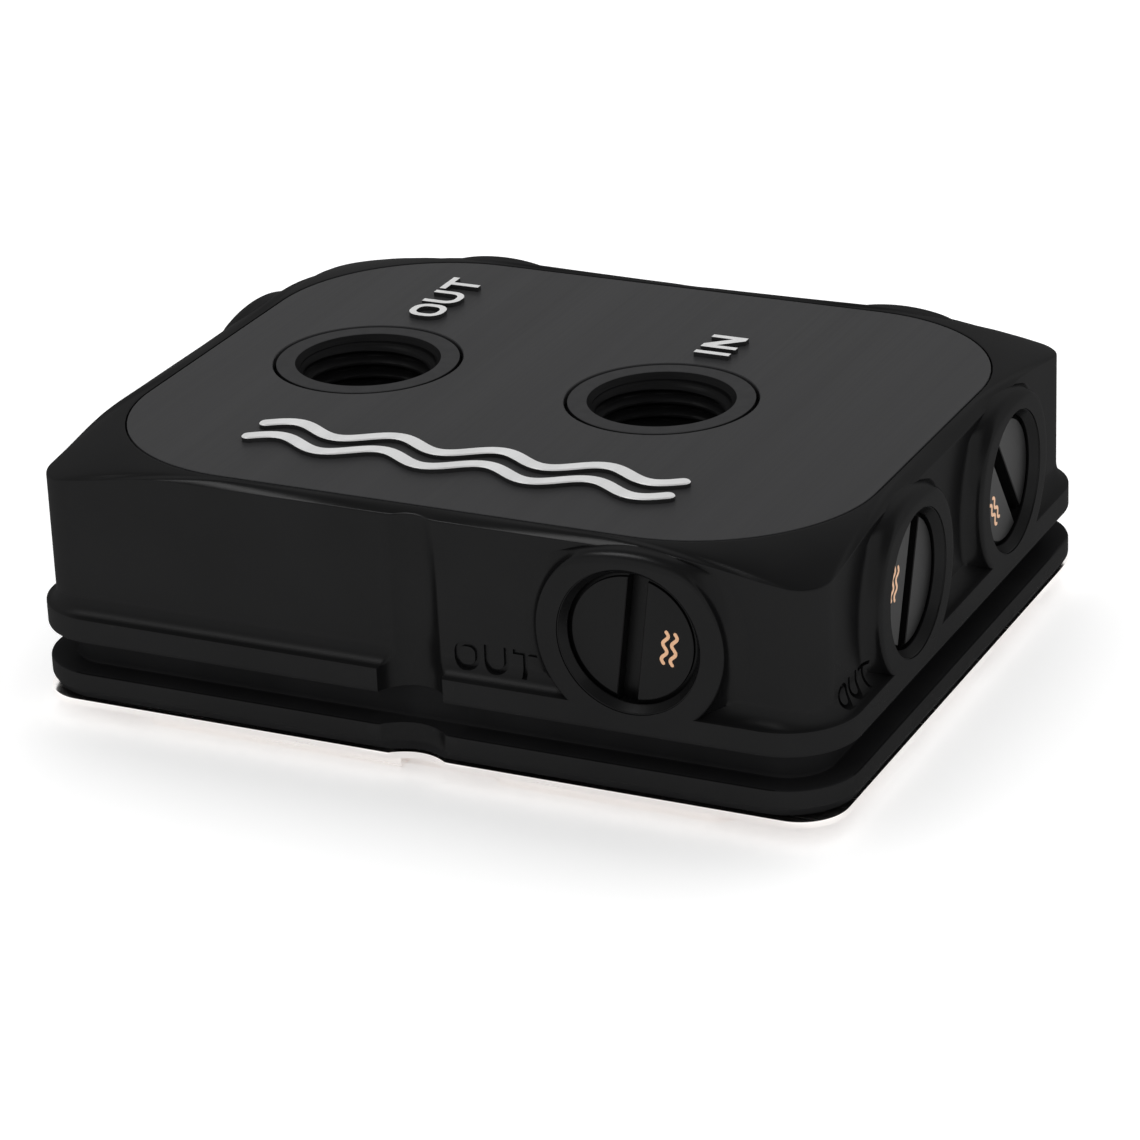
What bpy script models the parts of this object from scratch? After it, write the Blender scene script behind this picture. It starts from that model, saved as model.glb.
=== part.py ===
"""CPU water block with two top ports and six plugged side ports.

Metres, +Z up. X runs along the front, Y to the back. The origin is the middle of the underside of
the contact pad. A moulded housing carries a cover plate on top and a finned cold plate below.
"""

import math

import bmesh
import bpy
from mathutils import Matrix, Vector

# Envelope of the flange, the rib and the port bosses
LENGTH = 0.0810
DEPTH = 0.0665
OUTER_CORNER = 0.0068

# Heights, from the contact pad up
PAD_THICKNESS = 0.00185
LIP_THICKNESS = 0.00065
FLANGE_THICKNESS = 0.00265
FLANGE_CHAMFER = 0.00095
GROOVE_HEIGHT = 0.00315
RIB_THICKNESS = 0.0024
WALL_HEIGHT = 0.0148

# Running gap between pieces that rest on or in each other
GAP = 0.0003

# Housing skin
LIP_INSET = 0.0005
GROOVE_DEPTH = 0.0026
WALL_INSET = 0.0017
WALL_CORNER = 0.0047
CORNER_DROP = 0.0020
SIDE_DROP = 0.0004
ARRIS_RISE_LENGTH = 0.0140
ARRIS_ROUND = 0.0004
COVER_LIP = 0.0003

# Notches in the middle of the front and the back
NOTCH_RADIUS = 0.0033
NOTCH_OFFSET = 0.00065
SCALLOP_RADIUS = 0.0044
SCALLOP_OFFSET = 0.0029

# Cover plate with its raised wave pattern
COVER_THICKNESS = 0.0009
COVER_INSET = 0.0037
COVER_CORNER = 0.0164
RELIEF_HEIGHT = 0.0005
WAVE_LENGTH = 0.0420
WAVE_PERIODS = 4
WAVE_SWING = 0.0011
WAVE_STROKE = 0.0014
WAVE_SPACING = 0.0034
WAVE_SHIFT = -0.0008
WAVE_FRONT_INSET = 0.01395

# Ports: G1/4 thread, mouth chamfer and the ring or boss around it
THREAD_RADIUS = 0.00658
TOP_MOUTH_RADIUS = 0.00694
TOP_MOUTH_DEPTH = 0.0006
TOP_RING_RADIUS = 0.00885
IN_PORT_OFFSET = 0.0097
OUT_PORT_END = 0.0194
TOP_PORT_LINE = 0.0013
TOP_THREAD_DEPTH = 0.0095
SIDE_MOUTH_RADIUS = 0.00685
SIDE_MOUTH_DEPTH = 0.0003
BOSS_RADIUS = 0.0090
BOSS_TOP_DROP = 0.0001
BOSS_TOP_ROUND = 0.0012
BOSS_DOME_RADIUS = 0.0200
PORT_RISE = 0.0064
LONG_SIDE_PORT_END = 0.0189
SHORT_SIDE_PORT = 0.0125

# Flow spaces inside the housing
PORT_WALL = 0.0102
PLENUM_CORNER = 0.0040
PLENUM_ROOF = 0.0046
DECK_THICKNESS = 0.0020
COLUMN_RADIUS = 0.0088
FEED_END_INSET = 0.0050
FEED_WIDTH = 0.0070
FEED_HEIGHT = 0.0024
FEED_WALL = 0.0020
FEED_BORE_RADIUS = 0.0046
RETURN_WIDTH = 0.0038

# Cold plate, its fins and the jet plate
PLATE_CORNER = 0.0045
CORE_THICKNESS = 0.0017
CORE_INSET = 0.0029
PAD_END_INSET = 0.0095
PAD_INSET = 0.0026
PAD_CORNER = 0.0025
PAD_NOTCH_START = -0.0027
PAD_NOTCH_END = 0.0073
PAD_NOTCH_DEPTH = 0.0012
FIN_END_INSET = 0.0155
FIN_SIDE_INSET = 0.01175
FIN_PITCH = 0.0011
FIN_THICKNESS = 0.0005
FIN_HEIGHT = 0.0026
FIN_POCKET_MARGIN = 0.0008
JET_THICKNESS = 0.0008
JET_SIDE_MARGIN = 0.0010
JET_SLOT_END = 0.0020
JET_SLOT_WIDTH = 0.0016

# Seals, plugs and screws
BASE_SEAL_CORD = 0.0018
BASE_SEAL_WALL = 0.0014
BASE_SEAL_CORNER = 0.0050
PLUG_SINK = 0.0010
PLUG_CHAMFER = 0.00048
PLUG_HEAD = 0.0021
PLUG_LENGTH = 0.0085
PLUG_SEAL_CORD = 0.00108
SLOT_WIDTH = 0.0015
SLOT_DEPTH = 0.0014
SCREW_RADIUS = 0.00125
SCREW_HEAD_RADIUS = 0.0023
SCREW_LENGTH = 0.0075
SCREW_INSET = 0.0053
SCREW_SIDE_INSET = 0.00725
SCREW_MIDDLE_ROW = 0.0095
SOCKET_RADIUS = 0.00087
SOCKET_DEPTH = 0.0009

# Facets
CORNER_STEPS = 7
SIDE_SHARES = (0.05, 0.10, 0.16, 0.24, 0.50, 0.76, 0.84, 0.90, 0.95)
ROUND_STEPS = 36
PLUG_STEPS = 24
SEAL_STEPS = 20
SCREW_STEPS = 12
COVE_STEPS = 4
BOSS_STATIONS = 5

# Levels that follow from the heights
Z_PLATE = PAD_THICKNESS
Z_LIP = Z_PLATE + LIP_THICKNESS
Z_BODY = Z_LIP + GAP
Z_FLANGE = Z_BODY + FLANGE_THICKNESS
Z_GROOVE = Z_FLANGE + GROOVE_HEIGHT
Z_RIB = Z_GROOVE + RIB_THICKNESS
Z_TOP = Z_RIB + WALL_HEIGHT
Z_CORE = Z_LIP + CORE_THICKNESS
Z_CORE_POCKET = Z_CORE + GAP
Z_FINS = Z_CORE + FIN_HEIGHT
Z_JET = Z_FINS + GAP
Z_FIN_POCKET = Z_JET + JET_THICKNESS + GAP
Z_DECK = Z_FIN_POCKET + DECK_THICKNESS
Z_COVER_SEAT = Z_TOP - COVER_THICKNESS - GAP
Z_PORT = Z_RIB + PORT_RISE

HALF_X = LENGTH / 2
HALF_Y = DEPTH / 2
OVERCUT = 0.001

# Places and spans that follow from the envelope
IN_PORT = (IN_PORT_OFFSET, TOP_PORT_LINE)
OUT_PORT = (OUT_PORT_END - HALF_X, TOP_PORT_LINE)
LONG_SIDE_PORT = HALF_X - LONG_SIDE_PORT_END
WAVE_CENTRE = (WAVE_SHIFT, WAVE_FRONT_INSET - HALF_Y)
FIN_SPAN_X = LENGTH - 2 * FIN_END_INSET
FIN_SPAN_Y = DEPTH - 2 * FIN_SIDE_INSET
FEED_LENGTH = FIN_SPAN_X - 2 * FEED_END_INSET
PAD_LENGTH = LENGTH - 2 * PAD_END_INSET
SCREW_END_ROW = HALF_Y - SCREW_SIDE_INSET
SCREW_ROWS = (-SCREW_END_ROW, -SCREW_MIDDLE_ROW, SCREW_MIDDLE_ROW, SCREW_END_ROW)

UP = Vector((0, 0, 1))
FRONT = Vector((0, -1, 0))
BACK = Vector((0, 1, 0))
LEFT = Vector((-1, 0, 0))
RIGHT = Vector((1, 0, 0))

# Side ports: name, outward direction, place along the side and the slot's turn in degrees
SIDE_PORTS = (
    ("front", FRONT, LONG_SIDE_PORT, 83),
    ("right_front", RIGHT, -SHORT_SIDE_PORT, 72),
    ("right_rear", RIGHT, SHORT_SIDE_PORT, 125),
    ("back_right", BACK, LONG_SIDE_PORT, 40),
    ("back_left", BACK, -LONG_SIDE_PORT, 105),
    ("left_rear", LEFT, SHORT_SIDE_PORT, 150),
)


def clear_scene():
    for thing in list(bpy.data.objects):
        bpy.data.objects.remove(thing, do_unlink=True)


def material(name, colour, roughness, metallic):
    made = bpy.data.materials.new(name)
    made.use_nodes = True
    shader = made.node_tree.nodes["Principled BSDF"]
    shader.inputs["Base Color"].default_value = (*colour, 1.0)
    shader.inputs["Roughness"].default_value = roughness
    shader.inputs["Metallic"].default_value = metallic
    return made


def mesh_from(name, rings, wrap=False):
    """A closed mesh from rings of points, capped at both ends or wrapped round to the first ring."""
    shape = bmesh.new()
    rows = [[shape.verts.new(point) for point in ring] for ring in rings]
    pairs = list(zip(rows, rows[1:]))
    if wrap:
        pairs.append((rows[-1], rows[0]))
    for lower, upper in pairs:
        for i in range(len(lower)):
            j = (i + 1) % len(lower)
            shape.faces.new((lower[i], lower[j], upper[j], upper[i]))
    if not wrap:
        shape.faces.new(rows[0][::-1])
        shape.faces.new(rows[-1])
    bmesh.ops.recalc_face_normals(shape, faces=shape.faces)
    mesh = bpy.data.meshes.new(name)
    shape.to_mesh(mesh)
    shape.free()
    return mesh


def joined(name, meshes):
    """One mesh that holds several separate closed shapes."""
    shape = bmesh.new()
    for mesh in meshes:
        shape.from_mesh(mesh)
        bpy.data.meshes.remove(mesh)
    mesh = bpy.data.meshes.new(name)
    shape.to_mesh(mesh)
    shape.free()
    return mesh


def add_object(name, mesh, finish=None):
    thing = bpy.data.objects.new(name, mesh)
    bpy.context.scene.collection.objects.link(thing)
    if finish is not None:
        mesh.materials.append(finish)
        for face in mesh.polygons:
            face.use_smooth = True
        mesh.set_sharp_from_angle(angle=math.radians(35))
    return thing


def helper(name, mesh):
    thing = add_object(name, mesh)
    thing.hide_render = True
    thing.display_type = "WIRE"
    return thing


def boolean(target, operation, other):
    step = target.modifiers.new(other.name, "BOOLEAN")
    step.operation = operation
    step.solver = "EXACT"
    step.object = other


def cut(target, name, mesh):
    boolean(target, "DIFFERENCE", helper(name, mesh))


def add(target, name, mesh):
    boolean(target, "UNION", helper(name, mesh))


def rounded_ring(half_x, half_y, radius, z, shares=SIDE_SHARES, steps=CORNER_STEPS):
    """A rounded rectangle, counter-clockwise from the front side's right end."""
    corners = ((1, -1, -90), (1, 1, 0), (-1, 1, 90), (-1, -1, 180))
    arcs = []
    for side_x, side_y, start in corners:
        centre = Vector((side_x * (half_x - radius), side_y * (half_y - radius), z))
        arc = []
        for step in range(steps + 1):
            angle = math.radians(start + 90 * step / steps)
            arc.append(centre + radius * Vector((math.cos(angle), math.sin(angle), 0)))
        arcs.append(arc)
    points = []
    for index, arc in enumerate(arcs):
        following = arcs[(index + 1) % 4][0]
        points += arc
        points += [arc[-1].lerp(following, share) for share in shares]
    return points


def plain_ring(half_x, half_y, radius, z, steps=5):
    return rounded_ring(half_x, half_y, radius, z, shares=(), steps=steps)


def block(name, half_x, half_y, radius, low, high, centre=(0, 0)):
    """An upright rounded block."""
    shift = Vector((*centre, 0))
    rings = [[point + shift for point in plain_ring(half_x, half_y, radius, z)] for z in (low, high)]
    return mesh_from(name, rings)


def turned(name, profile, steps, centre=(0, 0, 0), axis=UP, wrap=False):
    """A solid of revolution. Each point of the profile is (radius, distance along the axis)."""
    side = RIGHT if abs(axis.x) < 0.5 else BACK
    other = axis.cross(side)
    middle = Vector(centre)
    rings = []
    for radius, along in profile:
        ring = []
        for step in range(steps):
            angle = 2 * math.pi * step / steps
            outward = side * math.cos(angle) + other * math.sin(angle)
            ring.append(middle + axis * along + outward * radius)
        rings.append(ring)
    return mesh_from(name, rings, wrap)


def cylinder(name, radius, low, high, centre, steps=ROUND_STEPS):
    return turned(name, ((radius, low), (radius, high)), steps, (*centre, 0))


def smooth_step(share):
    share = min(max(share, 0.0), 1.0)
    return share * share * (3 - 2 * share)


def wall_ring(z):
    """The housing's wall outline at one height."""
    return rounded_ring(HALF_X - WALL_INSET, HALF_Y - WALL_INSET, WALL_CORNER, z)


def corner_distance(point):
    """The way along the wall outline from the middle of the nearest corner."""
    out_x = abs(point.x) - (HALF_X - WALL_INSET - WALL_CORNER)
    out_y = abs(point.y) - (HALF_Y - WALL_INSET - WALL_CORNER)
    if out_x > 0 and out_y > 0:
        return WALL_CORNER * abs(math.atan2(out_y, out_x) - math.pi / 4)
    return WALL_CORNER * math.pi / 4 + max(0.0, -out_x, -out_y)


def arris_ring():
    """The wall's top edge: low at the corners, and rising along each side to just under the top."""
    points = wall_ring(Z_TOP)
    for point in points:
        rise = smooth_step(corner_distance(point) / ARRIS_RISE_LENGTH)
        point.z = Z_TOP - CORNER_DROP + (CORNER_DROP - SIDE_DROP) * rise
    return points


def port_frame(outward, along):
    """The middle of a side port's face and the directions to the right and outwards."""
    right = UP.cross(outward)
    reach = HALF_X if abs(outward.x) > 0.5 else HALF_Y
    place = RIGHT if abs(outward.y) > 0.5 else BACK
    return outward * reach + place * along + UP * Z_PORT, right


def boss_section(crest):
    """What is kept of a boss at one place along its wall, up to a rounded edge at the crest."""
    foot = Z_RIB - RIB_THICKNESS / 2
    section = [(OVERCUT, foot), (OVERCUT, crest - 2 * BOSS_TOP_ROUND)]
    for step in range(COVE_STEPS + 1):
        angle = math.pi / 2 * step / COVE_STEPS
        inward = -BOSS_TOP_ROUND * (1 - math.cos(angle))
        section.append((inward, crest - BOSS_TOP_ROUND * (1 - math.sin(angle))))
    section.append((-WALL_INSET - 2 * OVERCUT, crest))
    section.append((-WALL_INSET - 2 * OVERCUT, foot))
    return section


def boss(name, outward, along):
    """A port boss that flares into the wall, held between the rib and a domed, rounded crest."""
    centre, right = port_frame(outward, along)
    profile = [(BOSS_RADIUS, 0.0)]
    for step in range(1, COVE_STEPS + 1):
        angle = math.pi / 2 * step / COVE_STEPS
        flare = WALL_INSET * (1 - math.cos(angle))
        profile.append((BOSS_RADIUS + flare, -WALL_INSET * math.sin(angle)))
    profile.append((BOSS_RADIUS + WALL_INSET, -WALL_INSET - OVERCUT))
    body = add_object(name, turned(name, profile, ROUND_STEPS, centre, outward))
    flat = Vector((centre.x, centre.y, 0))
    rings = []
    for station in range(-BOSS_STATIONS, BOSS_STATIONS + 1):
        width = (BOSS_RADIUS + 2 * WALL_INSET) * station / BOSS_STATIONS
        section = boss_section(Z_TOP - BOSS_TOP_DROP - width * width / (2 * BOSS_DOME_RADIUS))
        rings.append([flat + outward * out + right * width + UP * z for out, z in section])
    keep = helper(name + "_keep", mesh_from(name + "_keep", rings))
    boolean(body, "INTERSECT", keep)
    body.hide_render = True
    body.display_type = "WIRE"
    return body


def housing_skin():
    """The outside of the housing as one loft, from the underside to the seat of the cover plate."""
    levels = (
        (LIP_INSET, Z_BODY),
        (0.0, Z_BODY + FLANGE_CHAMFER),
        (0.0, Z_FLANGE),
        (GROOVE_DEPTH, Z_FLANGE),
        (GROOVE_DEPTH, Z_GROOVE),
        (0.0, Z_GROOVE),
        (0.0, Z_RIB),
    )
    rings = [
        rounded_ring(HALF_X - inset, HALF_Y - inset, OUTER_CORNER - inset, z) for inset, z in levels
    ]
    for step in range(1, COVE_STEPS + 1):
        angle = math.pi / 2 * step / COVE_STEPS
        inset = WALL_INSET * math.sin(angle)
        corner = OUTER_CORNER + (WALL_CORNER - OUTER_CORNER) * math.sin(angle)
        z = Z_RIB + WALL_INSET * (1 - math.cos(angle))
        rings.append(rounded_ring(HALF_X - inset, HALF_Y - inset, corner, z))
    arris = arris_ring()
    opening_x = HALF_X - COVER_INSET + GAP
    opening_y = HALF_Y - COVER_INSET + GAP
    mouth = rounded_ring(opening_x, opening_y, COVER_CORNER + GAP, Z_TOP)
    lip = rounded_ring(
        opening_x + COVER_LIP, opening_y + COVER_LIP, COVER_CORNER + GAP + COVER_LIP, Z_TOP
    )
    below = [point - UP * ARRIS_ROUND for point in arris]
    slopes = [(edge - point).normalized() for edge, point in zip(lip, arris)]
    above = [point + slope * ARRIS_ROUND for point, slope in zip(arris, slopes)]
    softened = [(low + high + 2 * point) / 4 for low, high, point in zip(below, above, arris)]
    rings += [below, softened, above, lip, mouth]
    rings.append(rounded_ring(opening_x, opening_y, COVER_CORNER + GAP, Z_COVER_SEAT))
    return mesh_from("housing", rings)


def notch_cutters():
    """The upright notches in the wall and rib and the shallow scallops in the flange."""
    shapes = []
    for side in (-1, 1):
        notch = (0, side * (HALF_Y + NOTCH_OFFSET))
        low = Z_GROOVE - GROOVE_HEIGHT / 4
        shapes.append(cylinder("notch", NOTCH_RADIUS, low, Z_TOP + OVERCUT, notch))
        scallop = (0, side * (HALF_Y + SCALLOP_OFFSET))
        high = Z_FLANGE + GROOVE_HEIGHT / 4
        shapes.append(cylinder("scallop", SCALLOP_RADIUS, Z_BODY - OVERCUT, high, scallop))
    return joined("notches", shapes)


def side_port_cutters():
    shapes = []
    profile = (
        (SIDE_MOUTH_RADIUS, OVERCUT),
        (SIDE_MOUTH_RADIUS, 0.0),
        (THREAD_RADIUS, -SIDE_MOUTH_DEPTH),
        (THREAD_RADIUS, -PORT_WALL - OVERCUT),
    )
    for name, outward, along, _ in SIDE_PORTS:
        centre, _ = port_frame(outward, along)
        shapes.append(turned(name + "_bore", profile, ROUND_STEPS, centre, outward))
    return joined("side_ports", shapes)


def top_port_cutters():
    """Chamfered mouths and threads of both top ports, and the way down from each."""
    thread_end = Z_TOP - TOP_THREAD_DEPTH
    mouth = (
        (TOP_MOUTH_RADIUS, Z_TOP + OVERCUT),
        (TOP_MOUTH_RADIUS, Z_TOP),
        (THREAD_RADIUS, Z_TOP - TOP_MOUTH_DEPTH),
    )
    outlet = turned("out_bore", (*mouth, (THREAD_RADIUS, thread_end - OVERCUT)), ROUND_STEPS, (*OUT_PORT, 0))
    feed = (
        *mouth,
        (THREAD_RADIUS, thread_end),
        (FEED_BORE_RADIUS, thread_end),
        (FEED_BORE_RADIUS, Z_DECK),
    )
    inlet = turned("in_bore", feed, ROUND_STEPS, (*IN_PORT, 0))
    return joined("top_ports", [outlet, inlet])


def screw_places():
    for side in (-1, 1):
        for row in SCREW_ROWS:
            yield (side * (HALF_X - SCREW_INSET), row)


def screw_hole_cutters(low, high):
    radius = SCREW_RADIUS + GAP
    return joined(
        "screw_holes",
        [cylinder("hole", radius, low, high, place, SCREW_STEPS) for place in screw_places()],
    )


def seal_path():
    """Half sizes of the base seal's middle line, just outside the fin pocket."""
    reach = FIN_POCKET_MARGIN + BASE_SEAL_WALL + GAP + BASE_SEAL_CORD / 2
    return FIN_SPAN_X / 2 + reach, FIN_SPAN_Y / 2 + reach


def seal_groove():
    half_x, half_y = seal_path()
    width = BASE_SEAL_CORD / 2 + GAP
    top = Z_CORE_POCKET + BASE_SEAL_CORD + GAP
    section = (
        (-width, Z_CORE_POCKET - OVERCUT),
        (width, Z_CORE_POCKET - OVERCUT),
        (width, top),
        (-width, top),
    )
    rings = [
        plain_ring(half_x + out, half_y + out, BASE_SEAL_CORNER + out, z) for out, z in section
    ]
    return mesh_from("seal_groove", rings, wrap=True)


def feed_chamber():
    """Carries the coolant from under the IN port to the slot of the jet plate."""
    height = Z_DECK + FEED_HEIGHT
    return block("feed", FEED_LENGTH / 2, FEED_WIDTH / 2, FEED_WIDTH / 3, Z_FIN_POCKET - OVERCUT, height)


def return_slots():
    """Openings beside the jet plate, through which the coolant leaves the fins."""
    half_y = FIN_SPAN_Y / 2 + FIN_POCKET_MARGIN
    centre = half_y - RETURN_WIDTH / 2
    low = Z_FIN_POCKET - OVERCUT
    shapes = []
    for side in (-1, 1):
        place = (0, side * centre)
        radius = RETURN_WIDTH / 2.2
        shapes.append(
            block("return", FIN_SPAN_X / 2, RETURN_WIDTH / 2, radius, low, Z_DECK + OVERCUT, place)
        )
    return joined("return_slots", shapes)


def housing(finish):
    """The moulded housing: flange, bracket groove, rib, walls, bosses and the flow spaces inside."""
    body = add_object("housing", housing_skin(), finish)
    for name, outward, along, _ in SIDE_PORTS:
        boolean(body, "UNION", boss(name + "_boss", outward, along))
    for name, place in (("in_ring", IN_PORT), ("out_ring", OUT_PORT)):
        add(body, name, cylinder(name, TOP_RING_RADIUS, Z_COVER_SEAT - OVERCUT, Z_TOP, place))
    cut(body, "notches", notch_cutters())
    plenum_x = HALF_X - PORT_WALL
    plenum_y = HALF_Y - PORT_WALL
    roof = Z_TOP - PLENUM_ROOF
    cut(body, "plenum", block("plenum", plenum_x, plenum_y, PLENUM_CORNER, Z_DECK, roof))
    low = Z_DECK - DECK_THICKNESS / 2
    over = roof + OVERCUT
    add(body, "in_column", cylinder("in_column", COLUMN_RADIUS, low, over, IN_PORT))
    thread_end = Z_TOP - TOP_THREAD_DEPTH
    add(body, "out_column", cylinder("out_column", COLUMN_RADIUS, thread_end, over, OUT_PORT))
    bar_x = FEED_LENGTH / 2 + FEED_WALL
    bar_y = FEED_WIDTH / 2 + FEED_WALL
    bar_top = Z_DECK + FEED_HEIGHT + FEED_WALL
    add(body, "feed_bar", block("feed_bar", bar_x, bar_y, FEED_WIDTH / 3, low, bar_top))
    core_x = HALF_X - CORE_INSET
    core_y = HALF_Y - CORE_INSET
    core_corner = PLATE_CORNER
    cut(body, "core_pocket", block("core_pocket", core_x, core_y, core_corner, 0.0, Z_CORE_POCKET))
    fins_x = FIN_SPAN_X / 2 + FIN_POCKET_MARGIN
    fins_y = FIN_SPAN_Y / 2 + FIN_POCKET_MARGIN
    pocket = block("fin_pocket", fins_x, fins_y, FIN_POCKET_MARGIN, 0.0, Z_FIN_POCKET)
    cut(body, "fin_pocket", pocket)
    cut(body, "seal_groove", seal_groove())
    cut(body, "feed_chamber", feed_chamber())
    cut(body, "return_slots", return_slots())
    cut(body, "top_ports", top_port_cutters())
    cut(body, "side_ports", side_port_cutters())
    depth = SCREW_LENGTH + Z_PLATE + GAP
    cut(body, "housing_screw_holes", screw_hole_cutters(Z_CORE, depth))
    return body


def wave(name, centre_y):
    """One raised wave line with round ends."""
    count = WAVE_PERIODS * 8
    middle = []
    for step in range(count + 1):
        share = step / count
        x = WAVE_CENTRE[0] + WAVE_LENGTH * (share - 0.5)
        y = centre_y + WAVE_SWING * math.sin(2 * math.pi * WAVE_PERIODS * share)
        middle.append(Vector((x, y, 0)))
    left = []
    right = []
    for index, point in enumerate(middle):
        ahead = middle[min(index + 1, count)] - middle[max(index - 1, 0)]
        side = UP.cross(ahead).normalized() * WAVE_STROKE / 2
        left.append(point + side)
        right.append(point - side)
    ends = []
    for end, spread, turn in ((middle[-1], right[-1] - middle[-1], 1), (middle[0], left[0] - middle[0], 1)):
        cap = [end + Matrix.Rotation(turn * math.pi * step / 4, 3, "Z") @ spread for step in (1, 2, 3)]
        ends.append(cap)
    outline = right + ends[0] + left[::-1] + ends[1]
    rings = [[point + UP * z for point in outline] for z in (Z_TOP - GAP, Z_TOP + RELIEF_HEIGHT)]
    return mesh_from(name, rings)


def top_plate(finish):
    """The cover plate, with round openings for the port rings and the raised wave lines."""
    half_x = HALF_X - COVER_INSET
    half_y = HALF_Y - COVER_INSET
    rings = [
        rounded_ring(half_x, half_y, COVER_CORNER, z, shares=(), steps=12)
        for z in (Z_TOP - COVER_THICKNESS, Z_TOP)
    ]
    plate = add_object("top_plate", mesh_from("top_plate", rings), finish)
    radius = TOP_RING_RADIUS + GAP
    holes = [
        cylinder("hole", radius, Z_COVER_SEAT, Z_TOP + OVERCUT, place) for place in (IN_PORT, OUT_PORT)
    ]
    cut(plate, "cover_holes", joined("cover_holes", holes))
    for index, side in enumerate((-1, 1)):
        name = f"wave_{index + 1}"
        add(plate, name, wave(name, WAVE_CENTRE[1] + side * WAVE_SPACING / 2))
    return plate


def fin_comb():
    """All fins as one comb-shaped section, drawn out along Y."""
    count = int(FIN_SPAN_X / FIN_PITCH)
    start = -((count - 1) * FIN_PITCH + FIN_THICKNESS) / 2
    root = Z_CORE - GAP
    section = [(start, root)]
    for index in range(count):
        x = start + index * FIN_PITCH
        section += [(x, Z_CORE), (x, Z_FINS), (x + FIN_THICKNESS, Z_FINS), (x + FIN_THICKNESS, Z_CORE)]
    section.append((-start, root))
    half = FIN_SPAN_Y / 2
    rings = [[Vector((x, y, z)) for x, z in section] for y in (-half, half)]
    return mesh_from("fins", rings)


def pad_notches():
    """Cut-outs in the pad's front and back edges, square at one end and slanted at the other."""
    start, end = PAD_NOTCH_START, PAD_NOTCH_END
    inner = HALF_Y - PAD_INSET - PAD_NOTCH_DEPTH
    outline = (
        (start, -HALF_Y),
        (end + PAD_INSET, -HALF_Y),
        (end - PAD_NOTCH_DEPTH, -inner),
        (start, -inner),
    )
    shapes = []
    for side in (-1, 1):
        rings = [[Vector((-side * x, -side * y, z)) for x, y in outline] for z in (-OVERCUT, Z_PLATE)]
        shapes.append(mesh_from("pad_notch", rings))
    return joined("pad_notches", shapes)


def cold_plate(finish):
    """The plated copper plate: lip, core, contact pad, countersunk holes and the fins."""
    lip = block("cold_plate", HALF_X - LIP_INSET, HALF_Y - LIP_INSET, PLATE_CORNER, Z_PLATE, Z_LIP)
    plate = add_object("cold_plate", lip, finish)
    overlap = LIP_THICKNESS / 2
    core_x = HALF_X - CORE_INSET - GAP
    core_y = HALF_Y - CORE_INSET - GAP
    core_corner = PLATE_CORNER - GAP
    add(plate, "core", block("core", core_x, core_y, core_corner, Z_LIP - overlap, Z_CORE))
    pad_y = HALF_Y - PAD_INSET
    pad = [plain_ring(PAD_LENGTH / 2, pad_y, PAD_CORNER, z, steps=1) for z in (0.0, Z_PLATE + overlap)]
    add(plate, "pad", mesh_from("pad", pad))
    scallops = []
    for side in (-1, 1):
        place = (0, side * (HALF_Y + SCALLOP_OFFSET))
        scallops.append(cylinder("lip_scallop", SCALLOP_RADIUS, -OVERCUT, Z_LIP + OVERCUT, place))
    cut(plate, "lip_scallops", joined("lip_scallops", scallops))
    cut(plate, "pad_notches", pad_notches())
    cut(plate, "plate_screw_holes", countersinks())
    add(plate, "fins", fin_comb())
    return plate


def countersinks():
    shapes = []
    head = SCREW_HEAD_RADIUS + GAP
    hole = SCREW_RADIUS + GAP
    profile = (
        (head, -OVERCUT),
        (head, Z_PLATE),
        (hole, Z_PLATE + head - hole),
        (hole, Z_CORE + OVERCUT),
    )
    for place in screw_places():
        shapes.append(turned("countersink", profile, SCREW_STEPS, (*place, 0)))
    return joined("countersinks", shapes)


def jet_plate(finish):
    """The thin plate over the fins, whose slot spreads the coolant along their middle."""
    half_x = FIN_SPAN_X / 2 + FIN_POCKET_MARGIN - GAP
    half_y = FIN_SPAN_Y / 2 + FIN_POCKET_MARGIN - RETURN_WIDTH - JET_SIDE_MARGIN
    shape = block("jet_plate", half_x, half_y, GAP, Z_JET, Z_JET + JET_THICKNESS)
    plate = add_object("jet_plate", shape, finish)
    high = Z_JET + JET_THICKNESS + OVERCUT
    slot_x = FEED_LENGTH / 2 - JET_SLOT_END
    slot_y = JET_SLOT_WIDTH / 2
    slot = block("jet_slot", slot_x, slot_y, JET_SLOT_WIDTH / 3, Z_JET - OVERCUT, high)
    cut(plate, "jet_slot", slot)
    return plate


def base_seal(finish):
    """The round cord that lies in the groove between housing and cold plate."""
    half_x, half_y = seal_path()
    radius = BASE_SEAL_CORD / 2
    middle = Z_CORE_POCKET + radius
    rings = []
    for step in range(8):
        angle = 2 * math.pi * step / 8
        out = radius * math.cos(angle)
        z = middle + radius * math.sin(angle)
        rings.append(plain_ring(half_x + out, half_y + out, BASE_SEAL_CORNER + out, z))
    return add_object("base_seal", mesh_from("base_seal", rings, wrap=True), finish)


def settled(thing, name):
    """A plain mesh of a shape with its cuts made, which its copies share."""
    graph = bpy.context.evaluated_depsgraph_get()
    graph.update()
    mesh = bpy.data.meshes.new_from_object(thing.evaluated_get(graph))
    mesh.name = name
    for other in [thing] + [step.object for step in thing.modifiers]:
        bpy.data.objects.remove(other, do_unlink=True)
    return mesh


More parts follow.
